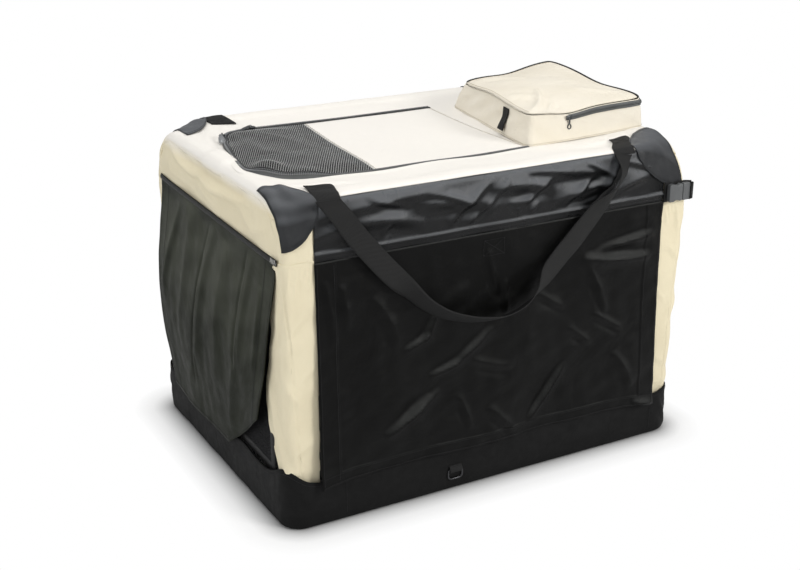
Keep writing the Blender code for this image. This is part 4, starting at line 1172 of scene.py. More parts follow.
def netPlace(axis, sign, low, high):
    def place(u, v):
        z = low + (high - low) * v
        depth = 0.0022 + 0.0012 * ripple(u, z, 0.17, 51 + axis * 2 + (1 if sign > 0 else 0))
        if axis == 1:
            return u, sign * (crate["halfWidth"] - depth), z
        return sign * (crate["halfLength"] - depth), u, z

    return place


netEdge = 0.016  # width of the sewn edge
netLooks = {
    "frontNetDoor": {"node": "front_net_door", "body": "front_door", "axis": 1, "sign": -1},
    "backNetWindow": {"node": "back_net_window", "body": "base", "axis": 1, "sign": 1},
    "leftNetDoor": {"node": "left_net_door", "body": "left_door", "axis": 0, "sign": -1},
    "rightNetWindow": {"node": "right_net_window", "body": "base", "axis": 0, "sign": 1},
}


def netPanels():
    for name, look in netLooks.items():
        axis, sign, border = look["axis"], look["sign"], netEdge
        low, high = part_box(look["node"])
        half = high[1 - axis]
        us = marks(-half, half, 0.012, (-half + border, half - border))
        tall = high[2] - low[2]
        vs = marks(0, 1, 0.03, (border / tall, 1 - border / tall), 0.001)
        facing = [0, 0, 0]
        facing[axis] = sign
        obj = gridPiece(name, us, vs, netPlace(axis, sign, low[2], high[2]), facing, (1, tall))
        centres = meshData(obj.data.polygons, "center")
        across, height = np.abs(centres[:, 1 - axis]), centres[:, 2]
        edge = (across > half - border) | (height < low[2] + border) | (height > high[2] - border)
        obj.data.polygons.foreach_set("material_index", edge.astype(np.int32))
        mats, on = (netting, cloth["binding"]), ["base_tray"]
        finishSheet(obj, mats, look["body"], look["node"], 0.0006, wallFold)


netPanels()
print("nets made")


# Roll-up flaps

flapFront = [
    (0.329, 0.374, 0.175, 0.392, 0.010, 0.0060, 0.003),
    (0.334, 0.418, 0.200, 0.400, 0.008, 0.0040, 0.0),
    (0.145, 0.203, 0.068, 0.100, 0.006, 0.0050, 0.003),
    (-0.075, 0.250, -0.140, 0.232, 0.006, 0.0032, 0.0),
    (-0.126, 0.352, -0.152, 0.298, 0.006, 0.0036, 0.0),
    (-0.015, 0.302, -0.100, 0.242, 0.007, 0.0034, 0.003),
    (-0.118, 0.206, -0.190, 0.158, 0.007, 0.0030, 0.002),
    (-0.026, 0.445, -0.006, 0.360, 0.005, 0.0030, 0.0),
    (0.010, 0.385, 0.012, 0.318, 0.005, 0.0026, 0.0),
    (0.184, 0.384, 0.232, 0.282, 0.007, 0.0034, 0.004),
    (0.205, 0.284, 0.270, 0.242, 0.006, 0.0030, 0.0),
    (0.080, 0.346, 0.140, 0.306, 0.006, 0.0028, 0.0),
    (0.150, 0.268, 0.202, 0.225, 0.006, 0.0026, 0.0),
    (-0.080, 0.185, -0.055, 0.118, 0.006, 0.0028, 0.0),
    (-0.068, 0.255, 0.030, 0.219, 0.008, 0.0026, -0.004),
    (-0.135, 0.312, -0.190, 0.290, 0.006, 0.0030, 0.0),
    (-0.140, 0.202, -0.228, 0.138, 0.009, 0.0044, 0.004),
    (-0.335, 0.442, -0.318, 0.330, 0.006, 0.0026, 0.0),
    (-0.305, 0.430, -0.294, 0.350, 0.007, 0.0026, 0.0),
    (0.300, 0.086, 0.348, 0.072, 0.008, 0.0050, 0.0),
    (-0.250, 0.400, -0.200, 0.300, 0.010, 0.0030, 0.006),
    (0.250, 0.200, 0.300, 0.120, 0.009, 0.0034, 0.004),
    (-0.020, 0.150, 0.040, 0.090, 0.008, 0.0030, 0.0),
]
flapBack = [
    (0.300, 0.380, 0.180, 0.330, 0.010, 0.0050, 0.003),
    (0.120, 0.300, 0.050, 0.180, 0.008, 0.0040, 0.003),
    (-0.060, 0.400, -0.120, 0.300, 0.008, 0.0040, 0.003),
    (-0.200, 0.260, -0.290, 0.180, 0.009, 0.0040, 0.0),
    (-0.020, 0.160, 0.060, 0.100, 0.008, 0.0034, 0.0),
    (0.200, 0.200, 0.290, 0.110, 0.009, 0.0040, 0.0),
    (-0.280, 0.420, -0.240, 0.320, 0.008, 0.0030, 0.0),
]
longFlap = {
    "half": 0.352,
    "top": 0.4745,
    "hemLeft": 0.0800,
    "hemRight": 0.0775,
    "band": 0.038,
    "foldScale": 1.6,
    "waves": 0.0016,
    "bandHeight": 0.0006,
    "reinforced": ((-0.034, 0.006), (0.035, 0.105)),  # the stitched square: x, and share of the height
}
flapThick = 0.0012


def longFlapPlace(side):
    folds = flapFront if side < 0 else flapBack

    def place(x, v):
        u = x / longFlap["half"]
        hem = longFlap["hemLeft"] + (longFlap["hemRight"] - longFlap["hemLeft"]) * (u + 1) / 2
        hem = hem + 0.0012 * ripple(x, 0 * x, 0.20, 61) * (1 - np.abs(u) ** 6) - 0.0065 * np.abs(u) ** 10
        z = longFlap["top"] - (longFlap["top"] - hem) * v
        off = 0.0012 + 0.0060 * smooth(v * 1.3) + 0.0018 * v * (1 + np.sin(7 * u + 2.5 * v))
        off = off + 0.008 * v ** 6 * np.abs(u) ** 5
        quiet = smooth(v / 0.08)
        off = off + longFlap["foldScale"] * creases(x, z, folds) * quiet
        off = off + longFlap["waves"] * ripple(x, z, 0.15, 62 + side) * quiet
        off = off + 0.0005 * ripple(x, z, 0.045, 64 + side) * quiet
        pastBand = np.abs(x) - longFlap["half"] + longFlap["band"]
        raised = np.maximum(smooth(pastBand / 0.0008), smooth((v - 0.945) / 0.002))
        off = off + longFlap["bandHeight"] * raised
        off = off - 0.0003 * np.exp(-((pastBand + 0.002) / 0.0022) ** 2)
        x = x * (1 - 0.004 * np.sin(math.pi * np.clip(v, 0, 1)))
        return x, side * (crate["halfWidth"] + off), z

    return place


def longFlaps():
    half, band = longFlap["half"], longFlap["band"]
    for word, side in longSides:
        place = longFlapPlace(side)
        us = marks(-half, half, 0.0040, (-half + band, half - band), 0.0005)
        vs = marks(0, 1, 0.0100, (0.946,), 0.0012)
        obj = gridPiece(word + "Flap", us, vs, place, (0, side, 0), (1, 0.41))
        flap, hangs = word + "_flap", [word + "UpperPanel"]
        finishSheet(obj, cloth["blackFlap"], flap, flap, flapThick, wallFold)
        rows = []
        for x in (-half + 0.004, -half + band - 0.004, half - band + 0.004, half - 0.004):
            rows.append(surfacePath(place, x, np.linspace(0.02, 0.985, 160), 0.0005, side))
        run = np.linspace(-half + 0.004, half - 0.004, 220)
        rows += [surfacePath(place, run, v, 0.0005, side) for v in (0.952, 0.990)]
        (left, right), (high, low) = longFlap["reinforced"]
        zs = np.linspace(high, low, 30)
        rows += [surfacePath(place, np.linspace(left, right, 20), t, 0.0005, side) for t in (high, low)]
        rows += [surfacePath(place, t, zs, 0.0005, side) for t in (left, right)]
        for first, last in ((left, right), (right, left)):
            rows.append(surfacePath(place, np.linspace(first, last, 30), zs, 0.0005, side))
        stitchRows(word + "FlapStitches", rows, "dark", flap, wallFold)


endFlap = {
    "top": 0.4775,
    "foldScale": 0.55,
    "folds": [
        (0.006, 0.474, 0.084, 0.130, 0.0040, -0.0060, 0.012),
        (-0.012, 0.470, 0.062, 0.150, 0.0140, 0.0060, 0.012),
        (-0.158, 0.474, -0.122, 0.240, 0.0036, -0.0050, 0.006),
        (-0.176, 0.470, -0.140, 0.250, 0.0100, 0.0040, 0.006),
        (0.150, 0.472, 0.236, 0.250, 0.0120, 0.0050, 0.006),
        (0.100, 0.460, 0.150, 0.200, 0.0160, 0.0050, -0.006),
        (-0.070, 0.450, -0.030, 0.150, 0.0240, 0.0080, 0.006),
        (-0.120, 0.250, -0.075, 0.100, 0.0140, 0.0060, 0.0),
        (0.020, 0.260, 0.120, 0.110, 0.0120, 0.0040, 0.004),
        (-0.215, 0.420, -0.195, 0.260, 0.0080, 0.0040, 0.0),
    ],
}


def endFlapPlace(sx):
    def place(u, v):
        top = -0.264 + 0.520 * u
        foot = -0.211 + 0.425 * u
        back = smooth(u)
        y = top + (foot - top) * ((1 - back) * v ** 1.6 + back * smooth((v - 0.68) / 0.32))
        hem = 0.069 + 0.114 * np.clip(1 - u / 0.36, 0, 1) ** 1.05 + 0.006 * smooth((u - 0.8) / 0.2)
        startZ = endFlap["top"] + 0.006 * u
        z = startZ + (hem - startZ) * v
        swell = (0.0150 - 0.0050 * smooth((u - 0.6) / 0.4)) * np.sin(math.pi * np.clip(v, 0, 1)) ** 1.2
        swell = swell * (0.25 + 0.75 * smooth(u / 0.30))
        wave = (0.0004 + 0.0018 * v) * v ** 0.5 * (1 + np.sin(2 * math.pi * (1.4 * u + 0.25 * v)))
        fold = endFlap["foldScale"] * creases(y, z, endFlap["folds"]) * smooth(v / 0.10)
        fold = fold + 0.0014 * ripple(y * 1.3, z * 0.6, 0.16, 71 + sx)
        fold = fold + 0.0004 * ripple(y, z * 0.6, 0.045, 74 + sx) * smooth(v / 0.2)
        lip = 0.004 * smooth((v - 0.55) / 0.45) * smooth((0.12 - u) / 0.12)
        x = crate["halfLength"] + 0.0016 + 0.0082 * smooth(v * 1.3) + swell + wave
        return sx * (x + fold * smooth(v / 0.06) + lip), y, z

    return place


def endFlaps():
    for word, sx in ends:
        place, flap, hangs = endFlapPlace(sx), word + "_flap", [word + "EndBand"]
        us, vs = np.linspace(0, 1, 136), np.linspace(0, 1, 92)
        obj = gridPiece(word + "Flap", us, vs, place, (sx, 0, 0), (0.49, 0.41))
        finishSheet(obj, cloth["greenFlap"], flap, flap, flapThick, wallFold)
        zs = np.linspace(0.02, 0.985, 160)
        rows = [surfacePath(place, u, zs, 0.0005, -sx) for u in (0.012, 0.070, 0.930, 0.988)]
        rows.append(surfacePath(place, np.linspace(0.012, 0.988, 200), 0.985, 0.0005, -sx))
        stitchRows(word + "FlapStitches", rows, "dark", flap, wallFold)


bindingWide = 0.0105


def tackX(y, sx, off):
    # the tack's distance from the end, which turns round the corner
    return sx * (crate["halfLength"] + off - 0.10 * np.maximum(-y - 0.268, 0))


def endBinding():
    # the end band's black edge over the zip, with its sewn tack at the front
    for word, sx in ends:
        def place(y, v):
            a = y / 0.272
            z = crate["welt"] + 0.0100 + 0.004 * a - bindingWide * v
            x = crate["halfLength"] + 0.0035 + 0.0012 * np.sin(math.pi * np.clip(v, 0, 1))
            return sx * (x - 0.0030 * np.abs(a) ** 10), y, z

        def tackPlace(y, v):
            return tackX(y, sx, 0.0052), y, crate["welt"] + 0.0078 - bindingWide * v

        us, vs = marks(-0.262, 0.258, 0.005), np.linspace(0, 1, 7)
        obj = gridPiece(word + "Binding", us, vs, place, (sx, 0, 0), (1, bindingWide))
        finishSheet(obj, cloth["binding"], "base", None, 0.0012, wallFold)
        tack = gridPiece(word + "Tack", marks(-0.276, -0.254, 0.003), vs, tackPlace, (sx, 0, 0))
        finishSheet(tack, cloth["binding"], "base", None, 0.0014, wallFold)
        ys = np.linspace(-0.275, -0.255, 9)
        zs = crate["welt"] + 0.0030 + 0.0042 * np.where(np.arange(9) % 2, 1, -1)
        points = np.stack([tackX(ys, sx, 0.0056), ys, zs], -1)
        rows = [(points, np.tile([sx, 0.0, 0.0], (9, 1)))]
        stitchRows(word + "TackStitches", rows, "tack", "base", wallFold)


longFlaps()
endFlaps()
endBinding()
print("flaps made")


# Half-round patches on the roof's corners

patchLooks = {
    "front_left": {"down": 0.060, "over": 0.077, "reach": 0.064, "bump": 0.0046, "wrap": 0.015},
    "back_left": {"down": 0.060, "over": 0.104, "reach": 0.078, "bump": 0.0, "wrap": -0.004},
    "front_right": {"down": 0.066, "over": 0.086, "reach": 0.110, "bump": 0.0, "wrap": 0.002},
    "back_right": {"down": 0.060, "over": 0.090, "reach": 0.080, "bump": 0.0, "wrap": 0.002},
}


def patchPlace(sx, sy, look):
    inner = flatEnd + look["wrap"]

    def place(q, t):
        # q runs in from the end's ridge, t from the wall's tip to the roof's tip
        q = np.clip(q, 0, 0.9999)
        low = -look["down"] * np.sqrt(1 - q ** 2.3)
        high = look["over"] * (1 - q ** 1.7) ** 0.62
        s = low + (high - low) * t + 0.004 * q
        p = inner - q * look["reach"]
        x, y, z = coverPoint(p, s, sy)
        lift = 0.0034 + 1.15 * panelSwell(x, z)
        lift = lift + 0.0008 * ripple(x, y + z, 0.035, 81 + sx + 3 * sy) * (1 - t * 0.2)
        bump = np.exp(-((p - flatEnd + 0.016) / 0.009) ** 2) * smooth((t - 0.55) / 0.3)
        lift = lift + look["bump"] * bump * smooth((1 - t) / 0.06 + 0.4)
        x, y, z = coverPoint(p, s, sy, lift)
        return sx * x, y, z

    return place


def cornerPatches():
    for word, sy in longSides:
        for short, sx in ends:
            look = patchLooks[word + "_" + short]
            place = patchPlace(sx, sy, look)
            qs = 1 - (1 - np.linspace(0, 1, 30)) ** 1.7
            name = word + short.title() + "Patch"
            obj = gridPiece(name, qs, np.linspace(0, 1, 44), place, (0.3 * sx, sy, 1), (0.07, 0.14))
            node, on = f"{word}_{short}_patch", ["roofCloth"]
            finishSheet(obj, cloth["slatePatch"], "roof", node, 0.0014, patchFold)
            steps = np.linspace(0, 0.93, 70)
            rows = [surfacePath(place, steps, t, 0.0004, sx * sy) for t in (0.045, 0.955)]
            stitchRows(name + "Stitches", rows, "darkFine", "roof", patchFold)


cornerPatches()
print("patches made")


# Tray, board and mat

tray = {
    "halfLength": 0.4105,
    "halfWidth": 0.2940,
    "corner": 0.038,
    "height": 0.0850,
    "foot": 0.007,
    "footShare": 0.16,
    "low": 0.0006,
    "underPoints": 240,
    "seams": (0.355, -0.30, 1.2, 1.9),
}


def roundedPlan(t, hx, hy, r):
    # a point and outward direction round a rounded oblong, t in metres from the middle of its front
    sides = [2 * (hx - r), r * math.pi / 2, 2 * (hy - r), r * math.pi / 2]
    total = 2 * sum(sides)
    t = np.mod(t + hx - r, total)
    x, y = np.zeros_like(t), np.zeros_like(t)
    nx, ny = np.zeros_like(t), np.zeros_like(t)
    start, heading = 0.0, 0.0
    place = np.array([-(hx - r), -hy])
    for k in range(8):
        length = sides[k % 4]
        on = (t >= start) & (t < start + length + 1e-9)
        d = t - start
        if k % 2 == 0:
            x = np.where(on, place[0] + d * math.cos(heading), x)
            y = np.where(on, place[1] + d * math.sin(heading), y)
            nx = np.where(on, math.sin(heading), nx)
            ny = np.where(on, -math.cos(heading), ny)
            place = place + length * np.array([math.cos(heading), math.sin(heading)])
        else:
            centre = place + r * np.array([-math.sin(heading), math.cos(heading)])
            angle = heading - math.pi / 2 + d / r
            x = np.where(on, centre[0] + r * np.cos(angle), x)
            y = np.where(on, centre[1] + r * np.sin(angle), y)
            nx = np.where(on, np.cos(angle), nx)
            ny = np.where(on, np.sin(angle), ny)
            heading += math.pi / 2
            angle = heading - math.pi / 2
            place = centre + r * np.array([math.cos(angle), math.sin(angle)])
        start += length
    return x, y, nx, ny, total


def trayOutline(t, inset):
    x, y, nx, ny, total = roundedPlan(t, tray["halfLength"], tray["halfWidth"], tray["corner"])
    return x - nx * inset, y - ny * inset, nx, ny, total


def trayPlace(t, v):
    # t runs round the tray, v up from under its foot, which is rounded over its first share
    x, y, nx, ny, total = trayOutline(t, 0)
    foot, low, footShare = tray["foot"], tray["low"], tray["footShare"]
    turn = np.clip(v / footShare, 0, 1)
    inset = foot * (1 - np.sin(turn * math.pi / 2)) ** 1.2
    z = low + foot * 1.3 * (1 - np.cos(turn * math.pi / 2))
    high = tray["height"] + 0.0012 * np.sin(t * 2 * math.pi / total * 5 + 1)
    high = high + 0.0010 * np.sin(t * 2 * math.pi / total * 17)
    # the rim stands higher at the corners, most of all at the front left one
    high = high + 0.019 * np.exp(-((x + 0.402) / 0.030) ** 2 - ((y + 0.268) / 0.036) ** 2)
    high = high + 0.009 * np.exp(-((np.abs(x) - 0.402) / 0.030) ** 2 - ((np.abs(y) - 0.280) / 0.03) ** 2)
    rise = low + foot * 1.3
    z = np.where(v < footShare, z, rise + (high - rise) * (v - footShare) / (1 - footShare))
    corner, middle = np.clip(np.abs(nx * ny) * 4, 0, 1), np.sin(math.pi * np.clip(v, 0, 1))
    wave = 0.0010 * ripple(x + 0.3 * z, y + z * 1.5, 0.09, 91)
    wave = wave + 0.0014 * corner * np.sin((x + y) * 200 + 14 * v) * middle
    wave = wave + 0.0014 * middle
    wave = wave * smooth(v / 0.2) - inset
    return x + nx * wave, y + ny * wave, z


def makeTray():
    total = float(trayOutline(np.array([0.0]), 0)[4])
    us, share, count = np.linspace(0, total, 561), tray["footShare"], tray["underPoints"]
    vs = np.concatenate([np.linspace(0, share, 6)[:-1], np.linspace(share, 1, 22)])
    wall = gridPiece("trayWall", us, vs, trayPlace, lambda c: c * [1, 1, 0], (1, 0.09))
    deselectAll()
    bpy.ops.mesh.primitive_circle_add(vertices=count, radius=1, fill_type="NGON")
    under = bpy.context.object
    x, y = trayOutline(np.linspace(0, total, count, endpoint=False), 0.0068)[:2]
    co = np.stack([x, y, np.full(count, tray["low"])], -1)
    under.data.vertices.foreach_set("co", co.astype(np.float32).ravel())
    under.data.update()
    under.data.flip_normals()
    obj = joinPieces("trayCloth", [wall, under])
    mergeDoubles(obj)
    finishSheet(obj, cloth["blackTray"], "base", "base_tray", 0.0020)
    vs = np.linspace(0.2, 0.98, 40)
    rows = [surfacePath(trayPlace, t, vs, 0.0005) for t in tray["seams"]]
    rows.append(surfacePath(trayPlace, np.linspace(0, total, 900), 0.93, 0.0005))
    stitchRows("trayStitches", rows, "dark", "base")


makeTray()
setMaterial(nodes["floor_board"], plain["board"])


matLook = {"halfX": 0.366, "halfY": 0.246, "low": 0.0082, "rise": 0.021, "edge": 0.007, "fill": 0.5}


def matPlan(u, v):
    # the mat's outline, pulled in between its corners
    pull = 1 - 0.012 * (1 - np.abs(v) ** 4) * np.abs(u) ** 3
    pullY = 1 - 0.016 * (1 - np.abs(u) ** 4) * np.abs(v) ** 3
    return matLook["halfX"] * u * pull, matLook["halfY"] * v * pullY


def makeMat():
    # quilted pad: a closed crowned shell with two sewn channels and piping round its edge
    look = matLook
    rim = look["low"] + look["edge"] * 0.5

    def matTop(u, v):
        edge = np.clip((1 - np.abs(u) ** 10) * (1 - np.abs(v) ** 10), 0, 1)
        channel = np.minimum(np.abs(np.abs(u) - 1 / 3) * 9, 1)
        high = rim + look["rise"] * 0.75 * edge ** 0.5 * (0.5 + 0.5 * smooth(channel))
        return *matPlan(u, v), high + 0.0012 * ripple(u * 0.37, v * 0.25, 0.06, 95) * edge

    def matUnder(u, v):
        edge = np.clip((1 - np.abs(u) ** 10) * (1 - np.abs(v) ** 10), 0, 1)
        return *matPlan(u, v), rim - look["edge"] * 0.45 * edge ** 0.3

    us, vs = np.linspace(-1, 1, 97), np.linspace(-1, 1, 67)
    upper = gridPiece("matTop", us, vs, matTop, (0, 0, 1), (0.37, 0.25))
    lower = gridPiece("matUnder", us, vs, matUnder, (0, 0, -1), (0.37, 0.25))
    obj = joinPieces("floorMat", [upper, lower])
    mergeDoubles(obj, 0.0001)
    setMaterial(obj, fleece)
    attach(obj, "base")
    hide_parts("floor_mat")
    points = []
    corners = [(-1, -1), (1, -1), (1, 1), (-1, 1)]
    for (u0, v0), (u1, v1) in zip(corners, corners[1:] + corners[:1]):
        for t in np.linspace(0, 1, 40, endpoint=False):
            points.append((*matPlan(u0 + (u1 - u0) * t, v0 + (v1 - v0) * t), rim))
    tubeAlong("matPiping", points, 0.0026, cloth["binding"], "base", closed=True)


makeMat()
print("tray and mat made")


# Frame: tubes, saddles and rivets keep their shape

for nodeName, node in nodes.items():
    if "hoop" in nodeName or nodeName in ("base_ring", "roof_ring"):
        setMaterial(node, plain["powderCoat"])
    elif "saddle" in nodeName:
        setMaterial(node, plain["blackPlastic"])
    elif "knee_pin" in nodeName:
        setMaterial(node, plain["zinc"])


# Roof hatch: net, cloth, zip and sliders

hatchFolds = [
    (-0.290, 0.130, -0.215, -0.035, 0.020, 0.0030, 0.012),
    (-0.330, 0.020, -0.250, -0.080, 0.026, 0.0024, -0.010),
]


def hatchCurl(x, y):
    # the zip's edge stands up at the front left corner
    near = np.exp(-((x + 0.352) / 0.024) ** 2 - ((y + 0.115) / 0.034) ** 2)
    tail = np.exp(-((x + 0.302) / 0.034) ** 2 - ((y + 0.162) / 0.022) ** 2)
    end = np.exp(-((x + 0.362) / 0.022) ** 2) * smooth((0.150 - y) / 0.03) * smooth((y + 0.01) / 0.06)
    return 0.0135 * near + 0.0105 * tail + 0.0085 * end


def hatchZ(x, y):
    # the hatch's height: the net billows a little and its zip edge curls up
    net = smooth((hatch["netRight"] + 0.02 - x) / 0.12)
    rim = np.clip((hatch["half"] - np.abs(y)) / 0.05, 0, 1)
    rim = rim * np.clip((x - hatchSkew(x, y) - hatch["left"]) / 0.05, 0, 1)
    billow = hatch["billow"] * smooth(rim) * net
    wave = 0.0006 * ripple(x, y, 0.16, 101) + creases(x, y, hatchFolds) * net * smooth(rim * 2)
    return crate["top"] + 0.0004 + roofSag(x, y) + billow + hatchCurl(x, y) + wave


def netBorder(y):
    return hatch["netRight"] + hatch["netSlant"] * (y / hatch["half"]) * 0.5


def hatchCloth():
    def place(x, y):
        left = netBorder(y) - 0.004
        at = left + (hatch["right"] + 0.0005 - left) * x
        return at, y, hatchZ(at, y)

    half = hatch["half"] - 0.0050
    us, vs = np.linspace(0, 1, 64), marks(-half, half, 0.005)
    obj = gridPiece("hatchCloth", us, vs, place, (0, 0, 1), (0.29, 1))
    finishSheet(obj, cloth["creamRoof"], "hatch", "hatch_cloth")
    ys = np.linspace(-half, half, 90)
    rows = [surfacePath(place, t, ys, 0.0004) for t in (0.010, 0.985)]
    stitchRows("hatchStitches", rows, "cream", "hatch")


netLook = {
    "pitchX": 0.0044,
    "pitchY": 0.0079,
    "thick": 0.00024,
    "wide": 0.00036,
    "heavy": (1.45, 0.55),  # the threads of one direction are heavier than the others
}


def hatchNet():
    # real threads: a diamond lattice on the hatch's billow, as one mesh
    look = netLook
    half = hatch["half"] - 0.004
    cols = int((hatch["netRight"] + 0.05 - hatch["left"]) / look["pitchX"] * 2)
    rows = int(2 * half / look["pitchY"] * 2)
    index, knots = {}, []
    for i in range(cols + 1):
        for j in range(i % 2, rows + 1, 2):
            x = hatch["left"] - 0.02 + i * look["pitchX"] / 2
            y = -half + j * look["pitchY"] / 2
            if inHatch(np.array([x]), np.array([y]), 0.003)[0] and x < netBorder(y) + 0.002:
                index[(i, j)] = len(knots)
                knots.append((x, y))
    ties = [(k, index.get((i + 1, j + d))) for (i, j), k in index.items() for d in (1, -1)]
    first, last = np.array([tie for tie in ties if tie[1] is not None]).T
    xy = np.array(knots)
    points = np.column_stack([xy, hatchZ(xy[:, 0], xy[:, 1])])
    along = points[last] - points[first]
    along /= np.linalg.norm(along, axis=1, keepdims=True)
    flat = np.cross(along, [0, 0, 1.0])
    flat /= np.linalg.norm(flat, axis=1, keepdims=True)
    up = np.cross(flat, along)
    heavy = np.where((along[:, :1] * along[:, 1:2]) > 0, *look["heavy"])
    across, over = flat * look["wide"] * heavy, up * look["thick"] * heavy
    ring = [across, over, -across, -over]
    verts = np.concatenate([points[end] + r for end in (first, last) for r in ring])
    n = len(first)
    faces = []
    for k in range(n):
        for q in range(4):
            w = (q + 1) % 4
            faces.append((k + q * n, k + w * n, k + (w + 4) * n, k + (q + 4) * n))
    mesh = bpy.data.meshes.new("hatchNet")
    mesh.from_pydata(verts.tolist(), [], faces)
    obj = linkObject("hatchNet", mesh)
    turnOutwards(obj)
    setMaterial(obj, plain["netThread"])
    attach(obj, "hatch")
    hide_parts("hatch_net")
    print("hatch net", len(mesh.polygons), "faces")


def hatchZip():
    # both tapes with their teeth, and the roof's hem that covers the outer tape
    path = hatchPath()
    tangent = np.gradient(path, axis=0)
    tangent /= np.linalg.norm(tangent, axis=1, keepdims=True)
    normals = np.stack([-tangent[:, 1], tangent[:, 0]], -1)
    run = runOf(path)[-1]
    shares = np.linspace(0, 1, len(path))

    def zipPoint(t, off):
        # a point at t along the zip's line, off to its side
        rows = (path[:, 0], path[:, 1], normals[:, 0], normals[:, 1])
        x, y, nx, ny = (np.interp(t / run, shares, row) for row in rows)
        return x + off * nx, y + off * ny

    def roofAt(x, y):
        return crate["top"] + roofSag(x, y) + roofLift(x, y)

    def outerPlace(t, v):
        # from the height of the teeth down under the roof's cloth
        x, y = zipPoint(t, hatch["gap"] + hatch["tape"] * v)
        teeth = hatchZ(*zipPoint(t, hatch["gap"]))
        z = teeth + (roofAt(x, y) - teeth) * smooth(v / 0.42)
        return x, y, z + 0.0012 - 0.0034 * smooth((v - 0.42) / 0.16)

    def innerPlace(t, v):
        x, y = zipPoint(t, -(hatch["gap"] + hatch["tape"] * v))
        return x, y, hatchZ(x, y) + 0.0012 - 0.0034 * smooth((v - 0.42) / 0.16)

    def hemPlace(t, v):
        x, y = zipPoint(t, hatch["hemFrom"] + hatch["hem"] * v)
        return x, y, roofAt(x, y) + 0.0012 - 0.0018 * v ** 2

    us, up, on = marks(0, run, 0.005), (0, 0, 1), ["roofCloth"]
    for name, body, place, mat, start in (
        ("roofZipTape", "roof", outerPlace, "zipTape", 0.001),
        ("hatchZipTape", "hatch", innerPlace, "zipTapeInner", 0.0025),
    ):
        obj = gridPiece(name, us, np.linspace(0, 1, 11), place, up, (1, 0.01))
        finishSheet(obj, plain[mat], body, None, 0.0009)
        if body == "roof":
            hem = gridPiece("roofZipHem", us, np.linspace(0, 1, 6), hemPlace, up, (1, hatch["hem"]))
            finishSheet(hem, cloth["creamRoof"], body, None, 0.0010)
        points, _ = surfacePath(place, np.linspace(0.001, run - 0.001, 600), 0.12, 0.0007)
        frames = pathFrames(points, np.tile([0, 0, 1.0], (600, 1)), 0.0030, start)
        toothRow(name + "Teeth", 0.0009, 0.0034, frames, plain["zipCoil"], body)


def ringPiece(radius, thick, segments, place):
    # a ring of wire that faces the front
    deselectAll()
    bpy.ops.mesh.primitive_torus_add(
        major_radius=radius, minor_radius=thick, major_segments=segments, minor_segments=8,
        location=place, rotation=(math.pi / 2, 0, 0)
    )
    return bpy.context.object


def blockPiece(size, place=(0, 0, 0)):
    # a block as a start for a small part
    deselectAll()
    bpy.ops.mesh.primitive_cube_add(size=1, location=place)
    obj = bpy.context.object
    obj.scale = size
    return settle(obj)


def cutAway(obj, tool):
    applyModifier(obj, "BOOLEAN", operation="DIFFERENCE", solver="EXACT", object=tool)
    bpy.data.objects.remove(tool)


def sliderBody(name, place, heading, node):
    # a slider's shield, narrowed at one end, with the bridge that holds its pull
    obj = blockPiece((0.0125, 0.0098, 0.0034), (0, 0, 0.0018))
    bpy.ops.object.mode_set(mode="EDIT")
    bpy.ops.mesh.select_all(action="SELECT")
    bpy.ops.mesh.subdivide(number_cuts=2)
    bpy.ops.object.mode_set(mode="OBJECT")
    for v in obj.data.vertices:
        along = v.co.x / 0.00625
        v.co.y *= 1 - 0.28 * max(along, 0) ** 2
        v.co.z *= 1 - 0.12 * abs(along)
    applyModifier(obj, "BEVEL", width=0.0008, segments=2, limit_method="ANGLE")
    bridge = ringPiece(0.0026, 0.0008, 20, (-0.0030, 0, 0.0032))
    obj = joinPieces(name, [obj, bridge])
    smoothShade(obj, 40)
    obj.rotation_euler = (0, 0, math.radians(heading))
    obj.location = place
    settle(obj)
    setMaterial(obj, plain["gunMetal"])
    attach(obj, node)
    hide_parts(node)


def pullPlate(name, root, heading, droop, length, width, mat, node):
    # a flat pull: a plate with a waist, a hole near its tip and an eye at its root
    deselectAll()
    bpy.ops.mesh.primitive_circle_add(vertices=48, radius=1, fill_type="NGON")
    obj = bpy.context.object
    half = width / 2
    outline = []
    for k in range(48):
        a = 2 * math.pi * k / 48
        x = length * 0.5 * (1 + math.copysign(abs(math.cos(a)) ** 0.65, math.cos(a)))
        y = half * math.copysign(abs(math.sin(a)) ** 0.45, math.sin(a))
        y *= 0.62 + 0.38 * smooth(np.array((x / length - 0.12) / 0.3))
        outline.append((x, float(y), 0))
    for v, co in zip(obj.data.vertices, outline):
        v.co = co
    obj.data.update()
    applyModifier(obj, "SOLIDIFY", thickness=0.0013, offset=0)
    for at, radius in ((length - half * 1.05, half * 0.42), (half * 0.55, half * 0.30)):
        deselectAll()
        bpy.ops.mesh.primitive_cylinder_add(vertices=20, radius=radius, depth=0.01, location=(at, 0, 0))
        cutAway(obj, bpy.context.object)
    applyModifier(obj, "BEVEL", width=0.00028, segments=2, limit_method="ANGLE")
    smoothShade(obj, 35)
    turn = Matrix.Rotation(math.radians(heading), 4, "Z") @ Matrix.Rotation(math.radians(droop), 4, "Y")
    obj.data.transform(Matrix.Translation(root) @ turn)
    settle(obj, name)
    setMaterial(obj, plain[mat])
    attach(obj, node)
    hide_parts(node)


sliderLooks = {
    "back": {
        "shift": (0.0, 0.0048), "heading": 0, "reach": -0.0055, "metal": "gunMetal",
        "pull": (214, 7, 0.036, 0.0085)  # heading, droop, length and width
    },
    "front": {
        "shift": (0.008, -0.002), "heading": 236, "reach": 0.0055, "metal": "paleMetal",
        "pull": (250, 6, 0.046, 0.0105)
    },
}


